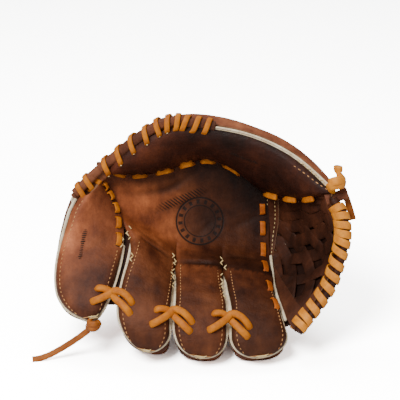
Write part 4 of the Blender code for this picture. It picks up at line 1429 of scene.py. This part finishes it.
def threadWork():
    rows = []
    for fingerName in fingerNames:
        front = stalls[fingerName][1]
        for u in (0.085, 0.915):
            rows.append(seamRow(front, u, 0.10, 0.96))
        tip = np.linspace(0.12, 0.88, 15)
        rows.append(rowAt(front, tip, np.full_like(tip, 0.035), 0.25))
    sewRows("fingerStitches", rows, "palm", "tan thread", threadLook["row"], 3)
    slitTops = ((-68.5, 88), (-25, 62), (21, 56))  # x and z in mm
    crotches = [whipped(x, z, 15, 5, 11, k) for k, (x, z) in enumerate(slitTops)]
    sewRows("crotchStitches", crotches, "palm", "cream thread", threadLook["whipped"], 5)
    rows = [seamRow(pinkyFront, u, 0.08, end) for u, end in ((0.07, 0.93), (0.93, 0.42))]
    tip = np.linspace(0.1, 0.9, 15)
    rows.append(rowAt(pinkyFront, tip, np.full_like(tip, 0.03), 0.25))
    sewRows("pinkyStitches", rows, "pinky", "tan thread", threadLook["row"], 4)
    rows = [seamRow(thumbFront, 0.95, 0.015, 0.12, 4.2)]
    sewRows("thumbRimStitches", rows, "thumb", "tan thread", threadLook["broad row"], 8)
    zigzag = 0.014 * (np.arange(6) % 2)
    u = np.array([0.36, 0.42, 0.48, 0.54, 0.6, 0.65])
    rows = [rowAt(stalls[fingerName][1], u, 0.022 + zigzag, 0.9) for fingerName in fingerNames]
    sewRows("tipThreads", rows, "palm", "cream thread", threadLook["tip"], 9)
    rows = [rowAt(pinkyFront, np.array([0.5, 0.58, 0.66, 0.74, 0.8, 0.86]), 0.02 + zigzag, 0.9)]
    sewRows("pinkyTipThreads", rows, "pinky", "cream thread", threadLook["tip"], 10)
    band = [seamRow(raised(webFace, 2.8), u, 0.06, 0.92) for u in (0.03, 0.11)]
    obj = sew("webBandStitches", *stacked(band), "cream thread", threadLook["row"], 12)
    foldAcross(obj, "palm", "thumb", *webBend, "raw_edge")
    for name, front, body, u, low, high in (("thumbTicks", thumbFront, "thumb", 0.72, 0.26, 0.36),
                                            ("pinkyTicks", pinkyFront, "pinky", 0.36, 0.45, 0.64)):
        v = np.linspace(low, high, 15)
        places, runs, stands = rowAt(front, np.full_like(v, u), v, 0.05)
        done(sew(name, places, np.cross(runs, stands) + 0.35 * runs, stands, "hole shadow and tool mark",
                 threadLook["tick"], 15, 0.35), body, "leather")
    long = np.linspace(0.02, 0.98, 44)
    rows = [rowAt(strapFace, long, np.full_like(long, v), 0.2) for v in (0.1, 0.9)]
    sewRows("strapStitches", rows, "palm", "cream thread", threadLook["broad row"], 13)
    rows = [seamRow(handBackFace, u, 0.03, 0.97, 4.2) for u in (0.03, 0.35, 0.65, 0.97)]
    sewRows("handBackStitches", rows, "palm", "cream thread", threadLook["broad row"], 14)


threadWork()
say("sewn")


studio = {"paper": 8, "floor": (0.80, 0.80, 0.79), "seenFloor": 14.0, "world": 0.32, "seenWorld": 40.0,
          "lampAim": (0, 0, 0.1),
          "lamps": (  # place, size in metres, power
              ((-0.55, -0.95, 1.35), 0.8, 30), ((-0.1, 0.5, 1.5), 0.9, 9))}


def addStudio():
    bpy.ops.mesh.primitive_plane_add(size=studio["paper"])
    floor = bpy.context.object
    floor.name = "floor"
    material, nodes, links, shader = newFinish("studio paper")
    nodes.remove(shader)
    plain, bright = nodes.new("ShaderNodeBsdfDiffuse"), nodes.new("ShaderNodeBsdfDiffuse")
    plain.inputs["Color"].default_value = (*studio["floor"], 1)
    bright.inputs["Color"].default_value = (*[value * studio["seenFloor"] for value in studio["floor"]], 1)
    ray, mix = nodes.new("ShaderNodeLightPath"), nodes.new("ShaderNodeMixShader")
    links.new(ray.outputs["Is Camera Ray"], mix.inputs[0])
    links.new(plain.outputs[0], mix.inputs[1])
    links.new(bright.outputs[0], mix.inputs[2])
    links.new(mix.outputs[0], nodes["Material Output"].inputs["Surface"])
    floor.data.materials.append(material)
    world = bpy.data.worlds.new("studio")
    bpy.context.scene.world = world
    world.use_nodes = True
    nodes, links = world.node_tree.nodes, world.node_tree.links
    ground = nodes["Background"]
    ray, power = nodes.new("ShaderNodeLightPath"), nodes.new("ShaderNodeMapRange")
    dial(power, {"To Min": studio["world"], "To Max": studio["seenWorld"]})
    links.new(ray.outputs["Is Camera Ray"], power.inputs["Value"])
    links.new(power.outputs["Result"], ground.inputs["Strength"])
    ground.inputs["Color"].default_value = (1, 1, 1, 1)
    for k, (place, size, power) in enumerate(studio["lamps"]):
        lamp = bpy.data.lights.new("softbox%d" % (k + 1), "AREA")
        lamp.shape, lamp.size, lamp.energy = "DISK", size, power
        obj = linked(lamp.name, lamp)
        obj.location = place
        away = Vector(place) - Vector(studio["lampAim"])
        obj.rotation_euler = away.to_track_quat("Z", "Y").to_euler()


addStudio()
say("studio lit")
